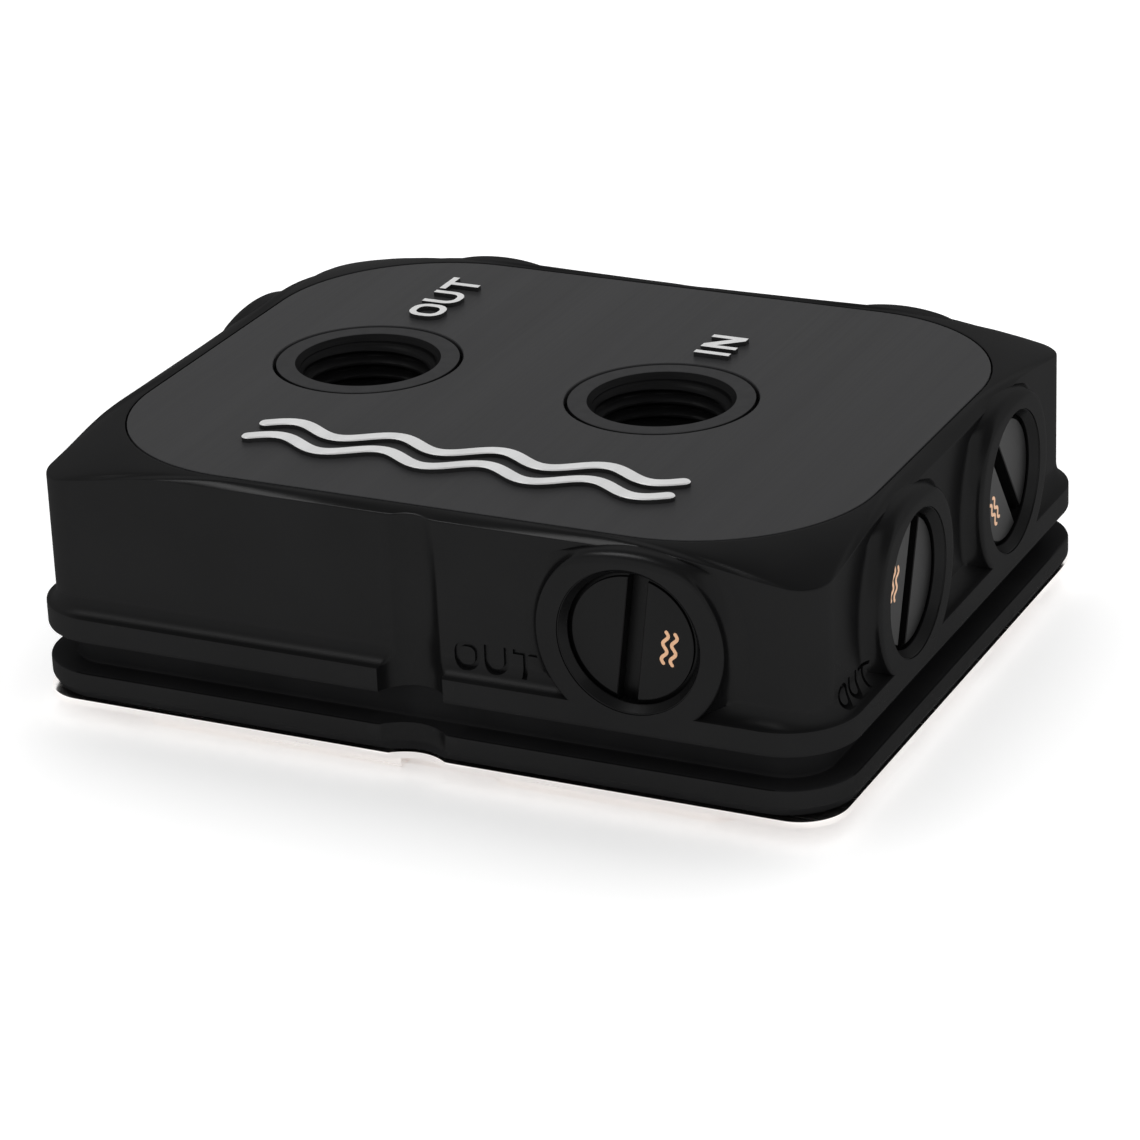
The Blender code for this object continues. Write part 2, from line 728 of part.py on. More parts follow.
def plug_mesh(finish):
    """A slotted plug, with its face PLUG_SINK below the boss and +Z outwards."""
    radius = THREAD_RADIUS - GAP
    groove = radius - PLUG_SEAL_CORD - GAP
    face = -PLUG_SINK
    seat = face - PLUG_HEAD
    land = seat - PLUG_SEAL_CORD - 2 * GAP
    end = face - PLUG_LENGTH
    profile = (
        (radius - PLUG_CHAMFER, face),
        (radius, face - PLUG_CHAMFER),
        (radius, seat),
        (groove, seat),
        (groove, land),
        (radius, land),
        (radius, end + PLUG_CHAMFER),
        (radius - PLUG_CHAMFER, end),
    )
    body = add_object("plug", turned("plug", profile, PLUG_STEPS), finish)
    low = face - SLOT_DEPTH
    slot = block("slot", 2 * radius, SLOT_WIDTH / 2, SLOT_WIDTH / 10, low, face + OVERCUT)
    cut(body, "slot", slot)
    return settled(body, "plug")


def plug_seal_mesh(finish):
    radius = PLUG_SEAL_CORD / 2
    middle = THREAD_RADIUS - GAP - radius
    depth = -PLUG_SINK - PLUG_HEAD - GAP - radius
    profile = []
    for step in range(5):
        angle = 2 * math.pi * step / 5
        profile.append((middle + radius * math.cos(angle), depth + radius * math.sin(angle)))
    mesh = turned("plug_seal", profile, SEAL_STEPS, wrap=True)
    mesh.materials.append(finish)
    return mesh


def place_plugs(plug_finish, seal_finish):
    plug = plug_mesh(plug_finish)
    seal = plug_seal_mesh(seal_finish)
    for name, outward, along, turn in SIDE_PORTS:
        centre, right = port_frame(outward, along)
        frame = Matrix((right, UP, outward)).transposed().to_4x4()
        spin = Matrix.Rotation(math.radians(turn), 4, "Z")
        for kind, mesh in (("plug", plug), ("plug_seal", seal)):
            piece = bpy.data.objects.new(f"{kind}_{name}", mesh)
            bpy.context.scene.collection.objects.link(piece)
            piece.matrix_world = Matrix.Translation(centre) @ frame @ spin


def screw_mesh(finish):
    """A countersunk screw, with the top of its head at z = 0 and its tip upwards."""
    head = SCREW_HEAD_RADIUS
    shank = SCREW_RADIUS
    cone = head - shank
    profile = (
        (head, 0.0),
        (shank, cone),
        (shank, SCREW_LENGTH - shank / 2),
        (shank / 2, SCREW_LENGTH),
    )
    body = add_object("screw", turned("screw", profile, SCREW_STEPS), finish)
    socket = turned("socket", ((SOCKET_RADIUS, -OVERCUT), (SOCKET_RADIUS, SOCKET_DEPTH)), 6)
    cut(body, "socket", socket)
    return settled(body, "screw")


def place_screws(finish):
    mesh = screw_mesh(finish)
    for index, (x, y) in enumerate(screw_places()):
        piece = bpy.data.objects.new(f"base_screw_{index + 1}", mesh)
        bpy.context.scene.collection.objects.link(piece)
        piece.location = (x, y, Z_PLATE)


def main():
    clear_scene()
    acetal = material("black_acetal", (0.014, 0.014, 0.015), 0.42, 0.0)
    anodised = material("brushed_black_aluminium", (0.045, 0.045, 0.047), 0.38, 1.0)
    nickel = material("nickel_plated_copper", (0.86, 0.80, 0.76), 0.16, 1.0)
    plug_black = material("plug_black", (0.022, 0.022, 0.023), 0.35, 0.6)
    rubber = material("seal_rubber", (0.012, 0.012, 0.012), 0.8, 0.0)
    steel = material("stainless_steel", (0.62, 0.61, 0.60), 0.3, 1.0)
    housing(acetal)
    top_plate(anodised)
    cold_plate(nickel)
    jet_plate(steel)
    base_seal(rubber)
    place_plugs(plug_black, rubber)
    place_screws(steel)


main()
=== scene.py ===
"""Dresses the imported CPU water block: fine shapes, lettering, finishes and a pale studio.

The file is laid out as an add-on. Run as a script, it makes every piece and the studio in order.
Sizes are in metres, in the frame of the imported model: X along the front, Y to the back, Z up.
"""

import math

import bmesh
import bpy
from bpy.props import FloatProperty, FloatVectorProperty, PointerProperty
from bpy.types import Operator, Panel, PropertyGroup
from mathutils import Matrix, Vector


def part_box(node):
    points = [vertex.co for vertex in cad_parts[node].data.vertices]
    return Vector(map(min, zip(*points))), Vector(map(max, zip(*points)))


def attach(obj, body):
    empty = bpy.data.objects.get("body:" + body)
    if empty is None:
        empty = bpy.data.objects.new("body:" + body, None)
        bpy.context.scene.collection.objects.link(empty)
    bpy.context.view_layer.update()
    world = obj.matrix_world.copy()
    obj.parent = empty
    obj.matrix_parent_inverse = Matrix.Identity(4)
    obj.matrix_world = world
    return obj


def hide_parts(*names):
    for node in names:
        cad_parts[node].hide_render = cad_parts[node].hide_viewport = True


bl_info = {
    "name": "CPU Water Block",
    "version": (1, 0, 0),
    "blender": (4, 5, 0),
    "location": "View3D > Sidebar > Water Block",
    "description": "Fine shapes, lettering, finishes and a studio for the packed water block",
    "category": "Object",
}

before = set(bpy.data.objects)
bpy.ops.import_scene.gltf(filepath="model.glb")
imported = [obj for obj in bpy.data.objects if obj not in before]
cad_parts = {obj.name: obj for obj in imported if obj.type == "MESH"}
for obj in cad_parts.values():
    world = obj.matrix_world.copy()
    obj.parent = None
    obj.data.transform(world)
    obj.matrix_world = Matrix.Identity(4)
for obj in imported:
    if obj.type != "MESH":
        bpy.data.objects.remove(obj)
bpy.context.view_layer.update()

UP = Vector((0, 0, 1))
FRONT = Vector((0, -1, 0))
BACK = Vector((0, 1, 0))
LEFT = Vector((-1, 0, 0))
RIGHT = Vector((1, 0, 0))

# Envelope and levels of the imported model
HALF_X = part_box("housing")[1].x
HALF_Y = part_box("housing")[1].y
Z_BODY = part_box("housing")[0].z
Z_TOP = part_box("housing")[1].z
Z_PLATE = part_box("base_screw_1")[0].z
Z_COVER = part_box("top_plate")[0].z
RELIEF_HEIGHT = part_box("top_plate")[1].z - Z_TOP
Z_LIP = 0.0025
Z_CHAMFER = 0.00375
Z_FLANGE = 0.00545
Z_GROOVE = 0.0086
Z_RIB = 0.0110
Z_SEAT = 0.0246

# Housing skin
OUTER_CORNER = 0.0068
GROOVE_DEPTH = 0.0026
WALL_INSET = 0.0017
WALL_CORNER = 0.0033
CORNER_DROP = 0.0020
SIDE_DROP = 0.0004
ARRIS_RISE_LENGTH = 0.0140
COVER_HALF_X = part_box("top_plate")[1].x
COVER_HALF_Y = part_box("top_plate")[1].y
COVER_CORNER = 0.0164
COVER_GAP = 0.0003
MOUTH_GAP = 0.00014
UNDERSIDE_INSET = 0.0034
FOOT_INSET = 0.0005
NOTCH_RADIUS = 0.0033
NOTCH_OFFSET = 0.00065
NOTCH_FOOT = 0.0078
NOTCH_FADE = 0.0005
SCALLOP_RADIUS = 0.0044
SCALLOP_OFFSET = 0.0029

# Ports
THREAD_RADIUS = 0.00658
TOP_RING_RADIUS = 0.00885
TOP_THREAD_END = 0.0163
IN_PORT = (0.0097, 0.0013)
OUT_PORT = (-0.0211, 0.0013)
BOSS_RADIUS = 0.0090
BOSS_DOME_RADIUS = 0.0200
BOSS_TOP_ROUND = 0.0012
BOSS_TOP_DROP = 0.0001
BOSS_FOOT = 0.0098
BOSS_BLEND = 0.0003
Z_PORT = 0.0174
PORT_WALL = 0.0102
PORT_STEPS = 96

# Flow spaces inside the housing
COLUMN_RADIUS = 0.0088
Z_DECK_FOOT = 0.0092
Z_DECK = 0.0102
Z_PLENUM = 0.0212
Z_COLUMN = 0.0222

# Wave lines on the cover and on the plugs
WAVE_CENTRE = (-0.0008, -0.0193)
WAVE_LENGTH = 0.0420
WAVE_HEIGHT = 0.0011
WAVE_OFFSET = 0.0017
WAVE_WIDTH = 0.0014
MARK_HEIGHT = 0.00022
MARK_OFFSET = 0.00042
MARK_WIDTH = 0.00034
PRINT_HEIGHT = 0.00003

# Plugs
PLUG_RADIUS = 0.00628
PLUG_SINK = 0.0010
PLUG_HEAD = 0.0021
PLUG_GROOVE_DEPTH = 0.00138
PLUG_GROOVE_WIDTH = 0.00168
PLUG_LENGTH = 0.0085
PLUG_CHAMFER = 0.00048
SLOT_DEPTH = 0.0014
SLOT_EDGE = 0.00007

# Cold plate and screws
PLATE_CORNER = 0.0045
PAD_INSET = 0.0026
Z_CORE_FOOT = 0.0022
Z_CORE = 0.0042
Z_FINS = 0.0068
Z_FIN_ROOT = 0.0039
FIN_PITCH = 0.0011
FIN_THICKNESS = 0.0005
FIN_COUNT = 45
FIN_HALF_LENGTH = 0.0215
SCREW_LINE = 0.0352
SCREW_ROWS = (-0.0260, -0.0095, 0.0095, 0.0260)

# Shading and studio
SHARP_ANGLE = 32
CAMERA_SHIFT = (-0.000165, 0.006822)
LIGHT_AIM = (0, 0, 0.01)

# Side ports: name, outward direction, place along the side, and the slot's turn in degrees
SIDE_PORTS = (
    ("front", FRONT, 0.0216, 83),
    ("right_front", RIGHT, -0.0125, 252),
    ("right_rear", RIGHT, 0.0125, 305),
    ("back_right", BACK, 0.0216, 40),
    ("back_left", BACK, -0.0216, 105),
    ("left_rear", LEFT, 0.0125, 150),
)


def smooth_step(share):
    share = min(max(share, 0.0), 1.0)
    return share * share * (3 - 2 * share)


def soft_max(a, b, width):
    return (a + b + math.sqrt((a - b) ** 2 + width**2)) / 2


def soft_min(a, b, width):
    return (a + b - math.sqrt((a - b) ** 2 + width**2)) / 2


# Mesh tools


def loft(name, rings, wrap=False):
    """A closed mesh through rings of points, capped at both ends or wrapped to the first ring."""
    shape = bmesh.new()
    rows = [[shape.verts.new(point) for point in ring] for ring in rings]
    pairs = list(zip(rows, rows[1:]))
    if wrap:
        pairs.append((rows[-1], rows[0]))
    for lower, upper in pairs:
        for i in range(len(lower)):
            j = (i + 1) % len(lower)
            shape.faces.new((lower[i], lower[j], upper[j], upper[i]))
    if not wrap:
        shape.faces.new(rows[0][::-1])
        shape.faces.new(rows[-1])
    bmesh.ops.recalc_face_normals(shape, faces=shape.faces)
    mesh = bpy.data.meshes.new(name)
    shape.to_mesh(mesh)
    shape.free()
    return mesh


def joined(name, meshes):
    """One mesh that holds several separate closed shapes."""
    shape = bmesh.new()
    for mesh in meshes:
        shape.from_mesh(mesh)
        bpy.data.meshes.remove(mesh)
    mesh = bpy.data.meshes.new(name)
    shape.to_mesh(mesh)
    shape.free()
    return mesh


def turned(name, profile, steps, centre=(0, 0, 0), axis=UP):
    """A solid of revolution from (radius, distance along the axis) pairs."""
    side = RIGHT if abs(axis.x) < 0.5 else BACK
    other = axis.cross(side)
    middle = Vector(centre)
    rings = []
    for radius, along in profile:
        ring = []
        for step in range(steps):
            angle = 2 * math.pi * step / steps
            outward = side * math.cos(angle) + other * math.sin(angle)
            ring.append(middle + axis * along + outward * radius)
        rings.append(ring)
    return loft(name, rings)


def outline(half_x, half_y, radius, z, long_shares=(), short_shares=(), steps=8):
    """A rounded rectangle, counter-clockwise from the front side's right end."""
    corners = ((1, -1, -90), (1, 1, 0), (-1, 1, 90), (-1, -1, 180))
    arcs = []
    for side_x, side_y, start in corners:
        centre = Vector((side_x * (half_x - radius), side_y * (half_y - radius), z))
        arc = []
        for step in range(steps + 1):
            angle = math.radians(start + 90 * step / steps)
            arc.append(centre + radius * Vector((math.cos(angle), math.sin(angle), 0)))
        arcs.append(arc)
    points = []
    for index, arc in enumerate(arcs):
        following = arcs[(index + 1) % 4][0]
        shares = long_shares if index % 2 else short_shares
        points += arc
        points += [arc[-1].lerp(following, share) for share in shares]
    return points


def block(name, half_x, half_y, radius, low, high, centre=(0, 0), steps=6):
    """An upright rounded block."""
    shift = Vector((*centre, 0))
    rings = []
    for z in (low, high):
        rings.append([p + shift for p in outline(half_x, half_y, radius, z, steps=steps)])
    return loft(name, rings)


def cylinder(name, radius, low, high, centre, steps=64):
    return turned(name, ((radius, low), (radius, high)), steps, (*centre, 0))


def combined(name, base, steps):
    """The mesh that is left after a chain of Boolean joins and cuts."""
    scene = bpy.context.scene.collection
    target = bpy.data.objects.new(name, base)
    scene.objects.link(target)
    tools = []
    for operation, mesh in steps:
        tool = bpy.data.objects.new("tool", mesh)
        scene.objects.link(tool)
        tools.append(tool)
        cut = target.modifiers.new("step", "BOOLEAN")
        cut.operation = operation
        cut.solver = "EXACT"
        cut.object = tool
    graph = bpy.context.evaluated_depsgraph_get()
    graph.update()
    result = bpy.data.meshes.new_from_object(target.evaluated_get(graph))
    result.name = name
    for thing in [target] + tools:
        data = thing.data
        bpy.data.objects.remove(thing)
        bpy.data.meshes.remove(data)
    if not result.polygons:
        raise RuntimeError(f"{name} came out empty")
    return result


def place(name, mesh, finish, nodes=(), others=()):
    """Puts a piece in the scene with its finish, and others on the faces their rules pick."""
    piece = bpy.data.objects.new(name, mesh)
    bpy.context.scene.collection.objects.link(piece)
    mesh.materials.clear()
    mesh.materials.append(finish)
    for index, (other, picks) in enumerate(others):
        mesh.materials.append(other)
        for face in mesh.polygons:
            if picks(face):
                face.material_index = index + 1
    mesh.polygons.foreach_set("use_smooth", [True] * len(mesh.polygons))
    mesh.set_sharp_from_angle(angle=math.radians(SHARP_ANGLE))
    normals = piece.modifiers.new("normals", "WEIGHTED_NORMAL")
    normals.keep_sharp = True
    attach(piece, "root")
    if nodes:
        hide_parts(*nodes)
    return piece


def port_frame(outward, along):
    """The middle of a side port's face and the direction to its right."""
    reach = HALF_X if abs(outward.x) > 0.5 else HALF_Y
    direction = RIGHT if abs(outward.y) > 0.5 else BACK
    return outward * reach + direction * along + UP * Z_PORT, UP.cross(outward)


# Lettering


def stroke(path, width, closed=False):
    """The two edges of a line of even width along a flat path."""
    half = width / 2
    left = []
    right = []
    count = len(path)
    for index, point in enumerate(path):
        ahead = path[(index + 1) % count] if closed or index + 1 < count else point
        behind = path[index - 1] if closed or index else point
        along = Vector((ahead[0] - behind[0], ahead[1] - behind[1])).normalized()
        side = Vector((-along.y, along.x)) * half
        left.append((point[0] + side.x, point[1] + side.y))
        right.append((point[0] - side.x, point[1] - side.y))
    return left, right


def arc_path(centre, radius, start, end, steps):
    path = []
    for step in range(steps + 1):
        angle = math.radians(start + (end - start) * step / steps)
        across, upward = radius * math.cos(angle), radius * math.sin(angle)
        path.append((centre[0] + across, centre[1] + upward))
    return path


def letter_outlines(letter, width, height, weight):
    """Flat outlines of one letter: (outer, inner or None)."""
    half = weight / 2
    radius = min(width, height) * 0.34
    if letter == "O":
        path = []
        for side_u, side_v, start in ((1, 0, -90), (1, 1, 0), (0, 1, 90), (0, 0, 180)):
            centre_u = width - half - radius if side_u else half + radius
            centre_v = height - half - radius if side_v else half + radius
            path += arc_path((centre_u, centre_v), radius, start, start + 90, 6)
        left, right = stroke(path, weight, closed=True)
        return right, left
    if letter == "U":
        path = [(half, height)]
        path += arc_path((half + radius, half + radius), radius, 180, 270, 6)
        path += arc_path((width - half - radius, half + radius), radius, 270, 360, 6)
        path.append((width - half, height))
        left, right = stroke(path, weight)
        return right + left[::-1], None
    if letter == "T":
        middle = width / 2
        return (
            (middle - half, 0),
            (middle + half, 0),
            (middle + half, height - weight),
            (width, height - weight),
            (width, height),
            (0, height),
            (0, height - weight),
            (middle - half, height - weight),
        ), None
    if letter == "I":
        return ((0, 0), (weight, 0), (weight, height), (0, height)), None
    slant = weight * 1.15
    return (
        (0, 0),
        (weight, 0),
        (weight, height - 1.7 * slant),
        (width - slant, 0),
        (width, 0),
        (width, height),
        (width - weight, height),
        (width - weight, 1.7 * slant),
        (slant, height),
        (0, height),
    ), None


def word(name, text, corner, along, up, height, widths, gap, weight, low, high):
    """A word as solid letters that rise from low to high over the plane of its corner."""
    outward = along.cross(up)
    shapes = []
    start = 0.0
    for letter, width in zip(text, widths):
        outer, inner = letter_outlines(letter, width, height, weight)

        def ring(points, lift, start=start):
            return [corner + along * (start + u) + up * v + outward * lift for u, v in points]

        if inner is None:
            shapes.append(loft(name, [ring(outer, low), ring(outer, high)]))
        else:
            rings = [ring(outer, low), ring(outer, high), ring(inner, high), ring(inner, low)]
            shapes.append(loft(name, rings, wrap=True))
        start += width + gap
    return joined(name, shapes)


# Housing


def long_shares():
    """Places along the front and back sides, close together over the middle notch."""
    straight = 2 * (HALF_X - WALL_INSET - WALL_CORNER)
    near = 0.0048
    places = [-near + 2 * near * step / 64 for step in range(65)]
    outer = [near + (straight / 2 - near) * step / 20 for step in range(1, 20)]
    places = [-x for x in reversed(outer)] + places + outer
    return [0.5 + x / straight for x in places]


def short_shares():
    return [step / 36 for step in range(1, 36)]


def notched(point, soft):
    """A point of the skin, pushed in where the front or back notch reaches it."""
    if abs(point.x) > 0.0060 or abs(point.y) < HALF_Y - 0.0050:
        return point
    if point.z > NOTCH_FOOT:
        radius, offset = NOTCH_RADIUS, NOTCH_OFFSET
    elif point.z <= Z_FLANGE + 0.0001:
        radius, offset = SCALLOP_RADIUS, SCALLOP_OFFSET
    else:
        return point
    offset += NOTCH_FADE * smooth_step((point.z - Z_TOP + 0.0030) / 0.0024)
    inside = radius**2 - point.x**2
    reach = math.sqrt(inside) - offset if inside > 0 else -offset - 3 * (abs(point.x) - radius)
    depth = HALF_Y - abs(point.y)
    if reach < depth - 4 * soft:
        return point
    pushed = soft_max(depth, reach, soft) if reach < depth else soft_max(reach, depth, soft)
    point.y = math.copysign(HALF_Y - pushed, point.y)
    return point


def corner_distance(point):
    """The way along the wall outline from the middle of the nearest corner."""
    out_x = abs(point.x) - (HALF_X - WALL_INSET - WALL_CORNER)
    out_y = abs(point.y) - (HALF_Y - WALL_INSET - WALL_CORNER)
    if out_x > 0 and out_y > 0:
        return WALL_CORNER * abs(math.atan2(out_y, out_x) - math.pi / 4)
    return WALL_CORNER * math.pi / 4 + max(0.0, -out_x, -out_y)


def skin_rows(edge):
    """(inset, height) of the skin's rows from the underside to the rib's top, then the cove."""
    soft = (1 - math.sqrt(0.5)) * edge
    rows = [
        (UNDERSIDE_INSET, Z_BODY),
        (FOOT_INSET + edge, Z_BODY),
        (FOOT_INSET + soft, Z_BODY + soft),
        (FOOT_INSET - soft, Z_BODY + edge),
        (soft, Z_CHAMFER - edge / 2),
        (0.0, Z_CHAMFER + edge / 2),
        (0.0, Z_CHAMFER + 2 * edge),
        (0.0, Z_FLANGE - edge),
        (soft, Z_FLANGE - soft),
        (edge, Z_FLANGE),
        (2 * edge, Z_FLANGE),
        (GROOVE_DEPTH - edge, Z_FLANGE),
        (GROOVE_DEPTH - soft, Z_FLANGE + soft),
        (GROOVE_DEPTH, Z_FLANGE + edge),
        (GROOVE_DEPTH, Z_FLANGE + 2 * edge),
        (GROOVE_DEPTH, Z_GROOVE - edge),
        (GROOVE_DEPTH - soft, Z_GROOVE - soft),
        (GROOVE_DEPTH - edge, Z_GROOVE),
        (2 * edge, Z_GROOVE),
        (edge, Z_GROOVE),
        (soft, Z_GROOVE + soft),
        (0.0, Z_GROOVE + edge),
        (0.0, Z_GROOVE + 2 * edge),
        (0.0, Z_RIB - 0.6 * edge),
        (0.3 * soft, Z_RIB - 0.2 * edge),
    ]
    for step in range(1, 13):
        angle = math.pi / 2 * step / 12
        rows.append((WALL_INSET * math.sin(angle), Z_RIB + WALL_INSET * (1 - math.cos(angle))))
    rows += [(WALL_INSET, Z_RIB + WALL_INSET + lift) for lift in (0.0004, 0.003, 0.006, 0.009)]
    return rows


def skin_corner(inset, height):
    """The corner radius that belongs to a row of the skin."""
    if height <= Z_RIB:
        return OUTER_CORNER - inset
    share = min(inset / WALL_INSET, 1.0)
    return OUTER_CORNER + (WALL_CORNER - OUTER_CORNER) * share


def housing_skin(shape):
    """The outside of the housing as one loft, up to the seat of the cover plate."""
    longs = long_shares()
    shorts = short_shares()

    def ring(inset, corner, z):
        return outline(HALF_X - inset, HALF_Y - inset, corner, z, longs, shorts, 16)

    rings = [ring(inset, skin_corner(inset, z), z) for inset, z in skin_rows(shape.edge_round)]
    arris = ring(WALL_INSET, WALL_CORNER, Z_TOP)
    for point in arris:
        rise = smooth_step(corner_distance(point) / ARRIS_RISE_LENGTH)
        point.z = Z_TOP - CORNER_DROP + (CORNER_DROP - SIDE_DROP) * rise
    mouth_x = COVER_HALF_X + MOUTH_GAP
    mouth_y = COVER_HALF_Y + MOUTH_GAP
    corner = COVER_CORNER + MOUTH_GAP

    def mouth(grow, z):
        return outline(mouth_x + grow, mouth_y + grow, corner + grow, z, longs, shorts, 16)

    lip = mouth(0.0003, Z_TOP - 0.00002)
    bend = shape.arris_round
    below = [point - UP * bend for point in arris]
    above = [point + (end - point).normalized() * bend for point, end in zip(arris, lip)]
    for share in (0.0, 0.25, 0.5, 0.75, 1.0):
        near = [a.lerp(b, share) for a, b in zip(below, arris)]
        far = [a.lerp(b, share) for a, b in zip(arris, above)]
        rings.append([a.lerp(b, share) for a, b in zip(near, far)])
    for share in (0.12, 0.3, 0.5, 0.7, 0.88):
        crown = shape.shoulder_crown * 4 * share * (1 - share)
        slope = []
        for start, end in zip(above, lip):
            slope.append(start.lerp(end, share) + UP * (end - start).length * crown)
        rings.append(slope)
    rings += [lip, mouth(0.00012, Z_TOP), mouth(0.00003, Z_TOP - 0.00004)]
    rings += [mouth(0.0, Z_TOP - 0.00013), mouth(0.0, Z_SEAT)]
    soft = shape.edge_round
    return loft("housing_skin", [[notched(point, soft) for point in row] for row in rings])


def crest_limit(angle, out):
    """How far a boss reaches from its axis before its domed top or its foot trims it."""
    rounding = BOSS_TOP_ROUND
    height = Z_TOP - BOSS_TOP_DROP - Z_PORT
    if out > -rounding:
        height -= rounding - math.sqrt(max(rounding**2 - (rounding + out) ** 2, 0.0))
    bend = math.cos(angle) ** 2 / (2 * BOSS_DOME_RADIUS)
    rise = math.sin(angle)
    if bend < 1e-6:
        limit = height / rise if rise > 0 else 1.0
    else:
        limit = (math.sqrt(rise**2 + 4 * bend * height) - rise) / (2 * bend)
    if rise < 0:
        limit = min(limit, (Z_PORT - BOSS_FOOT) / -rise)
    return limit


def boss(name, outward, along, edge):
    """A port boss with a rounded rim that flares into the wall under a domed crest."""
    centre, right = port_frame(outward, along)
    profile = []
    for step in range(5):
        angle = math.pi / 2 * step / 4
        profile.append((BOSS_RADIUS - edge * (1 - math.sin(angle)), -edge * (1 - math.cos(angle))))
    for step in range(1, 13):
        angle = math.pi / 2 * step / 12
        out = -edge - (WALL_INSET - edge) * math.sin(angle)
        profile.append((BOSS_RADIUS + WALL_INSET * (1 - math.cos(angle)), out))
    profile.append((BOSS_RADIUS + WALL_INSET, -WALL_INSET - 0.001))
    turns = [2 * math.pi * (step + 0.5) / PORT_STEPS for step in range(PORT_STEPS)]

    def at(turn, radius, out):
        return centre + outward * out + (right * math.cos(turn) + UP * math.sin(turn)) * radius

    def trimmed(radius, out):
        return [soft_min(radius, crest_limit(turn, out), BOSS_BLEND) for turn in turns]

    rim = trimmed(profile[0][0], 0.0)
    rings = []
    for share in (0.55, 0.78, 0.95):
        rings.append([at(turn, radius * share, 0.0) for turn, radius in zip(turns, rim)])
    for radius, out in profile:
        rings.append([at(turn, reach, out) for turn, reach in zip(turns, trimmed(radius, out))])
    return loft(name, rings)


def side_bore(name, outward, along):
    centre, _ = port_frame(outward, along)
    profile = (
        (0.00686, 0.001),
        (0.00686, -0.00002),
        (0.00682, -0.00014),
        (0.00675, -0.00017),
        (0.00671, -0.00014),
        (0.00620, -0.00088),
        (0.00620, -0.00102),
        (THREAD_RADIUS, -0.00106),
        (THREAD_RADIUS, -PORT_WALL - 0.001),
    )
    return turned(name, profile, PORT_STEPS, centre, outward)


def top_bore(name, centre, low, narrow=None):
    profile = [
        (0.00712, Z_TOP + 0.001),
        (0.00712, Z_TOP),
        (0.00700, Z_TOP - 0.00005),
        (0.00694, Z_TOP - 0.00015),
        (THREAD_RADIUS, Z_TOP - 0.0006),
    ]
    if narrow is None:
        profile.append((THREAD_RADIUS, low))
    else:
        profile += [(THREAD_RADIUS, TOP_THREAD_END), (narrow, TOP_THREAD_END), (narrow, low)]
    return turned(name, profile, PORT_STEPS, (*centre, 0))


def port_ring(name, centre, edge):
    profile = (
        (TOP_RING_RADIUS - edge, Z_TOP),
        (TOP_RING_RADIUS - 0.3 * edge, Z_TOP - 0.3 * edge),
        (TOP_RING_RADIUS, Z_TOP - edge),
        (TOP_RING_RADIUS, Z_SEAT - 0.001),
    )
    return turned(name, profile, 128, (*centre, 0))


def top_port_distance(face):
    """How far a face lies from the axis of the nearer top port."""
    return min(math.dist(face.center.xy, place) for place in (IN_PORT, OUT_PORT))


def on_port_ring(face):
    """Whether a face is part of the machined flat top of a port ring."""
    if face.center.z < Z_TOP - 0.0002 or face.normal.z < 0.5:
        return False
    return top_port_distance(face) < TOP_RING_RADIUS + 0.0001


def in_groove(face):
    """Whether a face belongs to the bracket groove or to the chamfer under the flange."""
    x, y, z = face.center
    if z < Z_CHAMFER - 0.0001:
        return True
    inset = min(HALF_X - abs(x), HALF_Y - abs(y))
    return Z_FLANGE - 0.0001 < z < Z_GROOVE + 0.0001 and 0.0003 < inset < 0.0060


def on_cove(face):
    """Whether a face belongs to the hollow between the rib and the walls."""
    return Z_RIB - 0.0001 < face.center.z < Z_RIB + WALL_INSET and face.normal.z > 0.12


def in_top_port(face):
    """Whether a face lies inside a top port, below the rounded edge of its mouth."""
    if face.center.z > Z_TOP - 0.00008 or face.center.z < Z_DECK:
        return False
    return top_port_distance(face) < 0.0071


def wall_words(depth):
    """The engraved OUT on the front wall and on the right wall."""
    front = Vector((0.0038, WALL_INSET - HALF_Y, 0.0116))
    side = Vector((HALF_X - WALL_INSET, -0.0276, 0.0112))
    wide = (0.0025, 0.0024, 0.0024)
    narrow = (0.0020, 0.0019, 0.0019)
    return [
        word("front_word", "OUT", front, RIGHT, UP, 0.0026, wide, 0.00045, 0.00046, -depth, 0.004),
        word("side_word", "OUT", side, BACK, UP, 0.0022, narrow, 0.00035, 0.00038, -depth, 0.004),
    ]


def housing_mesh(shape):
    """The moulded housing with its bosses, ports, words and the flow spaces inside."""
    rim = shape.boss_round
    bosses = [boss(name, outward, along, rim) for name, outward, along, _ in SIDE_PORTS]
    rings = [port_ring("port_ring", place, 0.00018) for place in (IN_PORT, OUT_PORT)]
    bores = [side_bore(name, outward, along) for name, outward, along, _ in SIDE_PORTS]
    ports = [top_bore("in_bore", IN_PORT, Z_DECK, 0.0046), top_bore("out_bore", OUT_PORT, 0.0150)]
    steps = [
        ("UNION", joined("bosses", bosses)),
        ("UNION", joined("port_rings", rings)),
        ("DIFFERENCE", block("plenum", 0.0303, 0.02305, 0.0040, Z_DECK, Z_PLENUM)),
        ("UNION", cylinder("in_column", COLUMN_RADIUS, Z_DECK_FOOT, Z_COLUMN, IN_PORT)),
        ("UNION", cylinder("out_column", COLUMN_RADIUS, TOP_THREAD_END, Z_COLUMN, OUT_PORT)),
        ("UNION", block("feed_bar", 0.0220, 0.0055, 0.0024, Z_DECK_FOOT, 0.0146)),
        ("DIFFERENCE", block("core_pocket", 0.0376, 0.03035, 0.0045, 0.0, 0.0045)),
        ("DIFFERENCE", block("fin_pocket", 0.0258, 0.0223, 0.0008, 0.0, 0.0082)),
        ("DIFFERENCE", block("feed_chamber", 0.0200, 0.0035, 0.0024, 0.0072, 0.0126)),
        ("DIFFERENCE", joined("top_ports", ports)),
        ("DIFFERENCE", joined("side_ports", bores)),
        ("DIFFERENCE", joined("wall_words", wall_words(shape.engraving_depth))),
    ]
    return combined("housing_shell", housing_skin(shape), steps)


